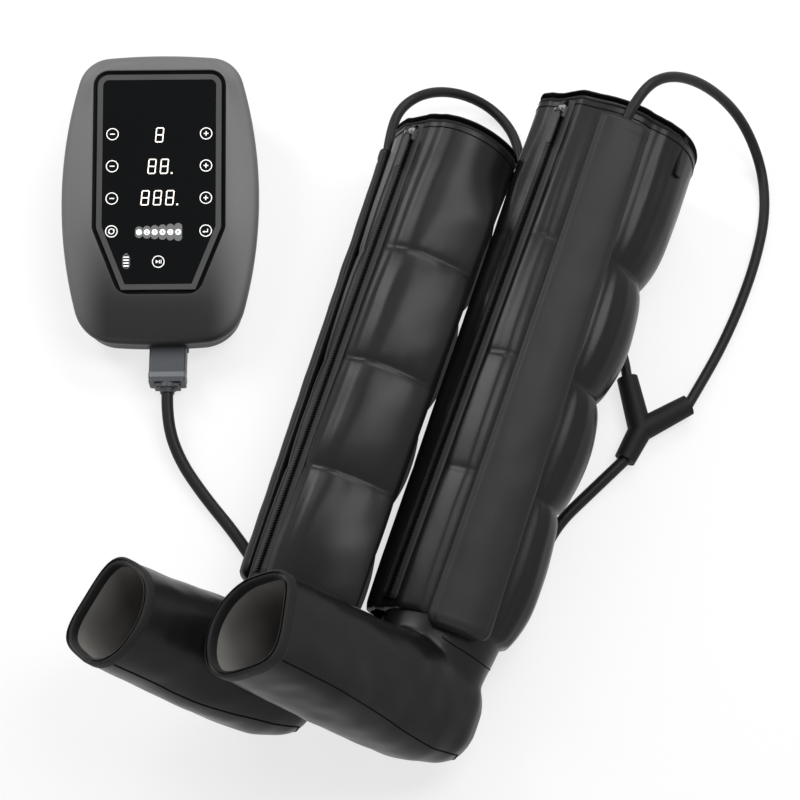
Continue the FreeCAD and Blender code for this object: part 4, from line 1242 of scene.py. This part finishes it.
def addStrip(boot, name):
    form = stripSettings
    sideHem, topHem, topSeam, wave = [form[part] for part in ("sideHem", "topHem", "topSeam", "wave")]

    def place(acrossShare, alongShare):
        u = boot["stripBottom"] + (form["top"] - boot["stripBottom"]) * alongShare
        side = 2 * acrossShare - 1
        fromEnd, fromTop = u - boot["stripBottom"], u - form["top"]
        narrow = form["narrowest"] + (1 - form["narrowest"]) * quarterRound(fromEnd / form["narrowEnd"])
        close = min(1.0, quarterRound(fromEnd / form["closedEnd"]) + 0.02)
        rise = max(0.0, 1 - abs(side) ** form["power"]) ** (1 / 3)
        hem = topHem[0] * smoothStep((fromTop + topHem[1]) / topHem[2])
        hem -= topSeam[0] * bump(fromTop, -topSeam[1], topSeam[2])
        height = form["height"] + wave[0] * rise * noise.noise(
            Vector((side * wave[1], u / wave[2], boot["seed"])))
        stand = form["gap"] + height * rise * close - sideHem[0] * bump(abs(side), *sideHem[1:]) + hem * rise
        return legPoint(boot, u, stripAngle(boot, u) + side * narrow * stripSpread(boot, u), stand) * mm

    def isEdge(acrossShare, alongShare):
        return abs(acrossShare - 0.5) > 0.5 - form["edge"] / form["across"]

    shape = gridShape(form["across"], form["along"], place, isEdge, merge=None)
    piece = sheetPiece("strip_" + name, shape, len(shape.faces) // 2, form["wall"], "strip cloth",
                       "coated sleeve cloth")
    finishPiece(piece, slotName="cover_fabric", stands="hose_cover_" + name)


# zips: tape and coil along one straight track
zipSettings = {
    "gap": 0.6, "tapeWidth": 22.0, "tapeHeight": 1.4, "tapeWall": 0.0011, "fall": 0.9,
    "ridge": (0.6, 0.80, 0.07), "pitch": 2.6, "teethWidth": 6.0, "teethHeight": 2.2, "toothShare": 0.56,
    "overlap": 0.25, "sink": 0.1, "round": 0.35,
}


def zipMatrix(boot, u):
    origin, side, along, out = zipAxes(boot, u)
    turn = Matrix((side, along, out)).transposed().to_4x4()
    return Matrix.Translation(origin * mm) @ turn @ Matrix.Scale(mm, 4)


def addTape(name, length, matrix):
    form = zipSettings
    height, middle, width = form["ridge"]

    def place(acrossShare, alongShare):
        side = 2 * acrossShare - 1
        level = form["gap"] + form["tapeHeight"] + height * bump(abs(side), middle, width)
        return Vector((
            side * form["tapeWidth"] / 2, (alongShare - 0.5) * length, level - form["fall"] * abs(side) ** 3))

    shape = gridShape(16, 90, place, merge=None)
    bmesh.ops.transform(shape, matrix=matrix, verts=shape.verts)
    tape = sheetPiece("zip_tape_" + name, shape, 0, form["tapeWall"], "zip tape")
    finishPiece(tape, slotName="zip_tape", stands="front_zip_" + name)


def addCoil(name, length, matrix):
    form = zipSettings
    reach, height = form["teethWidth"] / 2, form["teethHeight"]
    level = form["gap"] + form["tapeHeight"] + height / 2 - form["sink"]
    coil = bmesh.new()
    for row in (-1, 1):
        for index in range(int(length / form["pitch"])):
            along = (index + 0.5 * (row > 0) + 0.25) * form["pitch"] - length / 2
            made = bmesh.ops.create_cube(coil, size=1.0)["verts"]
            bmesh.ops.scale(coil, verts=made, vec=(reach, form["pitch"] * form["toothShare"], height))
            bmesh.ops.translate(coil, verts=made, vec=(row * (reach / 2 - form["overlap"]), along, level))
    bmesh.ops.bevel(
        coil, geom=coil.edges[:], offset=form["round"], affect="EDGES", segments=1, profile=0.5, material=-1)
    bmesh.ops.transform(coil, matrix=matrix, verts=coil.verts)
    finishPiece(meshPiece("zip_coil_" + name, coil), "seam thread", slotName="zip_tape")


def addZip(boot, name):
    bottom, top = boot["zipBottom"], bootForm["trackTop"]
    length = (zipAxes(boot, top)[0] - zipAxes(boot, bottom)[0]).length
    matrix = zipMatrix(boot, (bottom + top) / 2)
    addTape(name, length, matrix)
    addCoil(name, length, matrix)


for bootName, bootFacts in boots.items():
    addLeg(bootFacts, bootName)
    print("leg " + bootName)
    addFoot(bootFacts, bootName)
    print("foot " + bootName)
    addTopBand(bootFacts, bootName)
    addToeBand(bootFacts, bootName)
    addStrip(bootFacts, bootName)
    addZip(bootFacts, bootName)
    print("bands, strip and zip " + bootName)


# finishes of the parts that keep their own shape, by the start of their names
nodeFinishes = {
    "shell plastic with painted shade": ("front_cover",), "bezel plastic": ("display_bezel",),
    "rear cover plastic": ("rear_cover", "key_switches", "charging_jack"),
    "black display glass": ("display_glass", "key_"), "circuit board": ("display_board", "main_board"),
    "pale inner plastic": ("display_modules", "valve_manifold", "air_tubes", "feed_tube"),
    "inner metal": ("compressor_frame", "compressor_motor", "pump_head", "head_cover", "drive_shaft",
                    "solenoid_valves", "cover_screws"),
    "battery wrap": ("battery_pack",), "foot rubber": ("compressor_mounts", "rubber_feet"),
    "plug plastic": ("hose_plug", "hose_collar", "hose_socket"), "splitter rubber": ("y_splitter",),
    "hose rubber": ("air_line",), "zip metal": ("zip_slider",), "tab webbing": ("zip_tab",),
    "binding tape": ("side_pull",), "coated sleeve cloth": ("",),
}


def finishNodes():
    for name, node in nodes.items():
        finish = next(finish for finish, starts in nodeFinishes.items() if name.startswith(starts))
        if not node.material_slots:
            node.data.materials.append(finishes[finish])
        for holder in node.material_slots:
            holder.material = finishes[finish]


finishNodes()
print("node finishes set")


# floor, sky and lamps
stageSettings = {
    "floor": (0.90, 0.90, 0.90), "floorSize": 25.0, "floorDrop": 0.0004, "floorGlow": 0.72, "sky": 0.28,
    # place, aim, size and power
    "lamps": {
        "left": ((-1.3, 0.5, 1.5), (0.2, 0.0, 0.1), (0.7, 1.3), 24.0),
        "right": ((0.85, 0.35, 1.7), (0.3, 0.0, 0.1), (0.5, 1.3), 15.0),
        "back": ((0.3, 1.5, 1.5), (0.3, 0.0, 0.1), (1.4, 0.6), 19.0),
        "front": ((0.4, -2.0, 0.9), (0.3, -0.3, 0.1), (1.2, 0.6), 7.0),
    },
}


def seenDirectly(tree):
    # one for rays from the camera, off gloss and through glass, nought for the rest
    paths = addNode(tree, "LightPath", {}).outputs
    seen = combined(tree, "MAXIMUM", paths["Is Camera Ray"], paths["Is Glossy Ray"])
    return combined(tree, "MAXIMUM", seen, paths["Is Transmission Ray"])


def blendSurface(tree, share, lit, plain, output):
    # what lights the part stays as it is, what the camera sees is blended with the plain one
    mix = addNode(tree, "MixShader", {"Fac": share, 1: lit, 2: plain})
    tree.links.new(mix.outputs["Shader"], tree.nodes[output].inputs["Surface"])


def addFloor():
    shape = bmesh.new()
    bmesh.ops.create_grid(shape, x_segments=1, y_segments=1, size=stageSettings["floorSize"])
    floor = meshPiece("floor", shape, smooth=False)
    material, tree, shader = newMaterial("floor")
    setInputs(tree, shader, {
        "Base Color": (*stageSettings["floor"], 1), "Roughness": 0.9, "Specular IOR Level": 0.1})
    share = combined(tree, "MULTIPLY", seenDirectly(tree), stageSettings["floorGlow"])
    glow = addNode(tree, "Emission", {})
    blendSurface(tree, share, shader.outputs["BSDF"], glow.outputs["Emission"], "Material Output")
    floor.data.materials.append(material)
    floor.location.z = -stageSettings["floorDrop"]


def addSky():
    world = bpy.data.worlds.new("studio")
    bpy.context.scene.world = world
    world.use_nodes = True
    tree = world.node_tree
    sky = tree.nodes["Background"]
    setInputs(tree, sky, {"Color": (1, 1, 1, 1), "Strength": stageSettings["sky"]})
    backdrop = addNode(tree, "Background", {"Color": (1, 1, 1, 1), "Strength": 1.0})
    blendSurface(tree, seenDirectly(tree), sky.outputs["Background"], backdrop.outputs["Background"],
                 "World Output")


def addLamps():
    for name, (place, aim, size, power) in stageSettings["lamps"].items():
        data = bpy.data.lights.new(name, "AREA")
        data.energy = power
        data.shape = "RECTANGLE"
        data.size, data.size_y = size
        light = placeObject(name, data)
        light.location = place
        light.rotation_euler = (Vector(place) - Vector(aim)).to_track_quat("Z", "Y").to_euler()


addFloor()
addSky()
addLamps()
bpy.context.scene.view_settings.view_transform = "Standard"
print("stage set")
addCamera()
declareHoses()

bpy.context.view_layer.update()
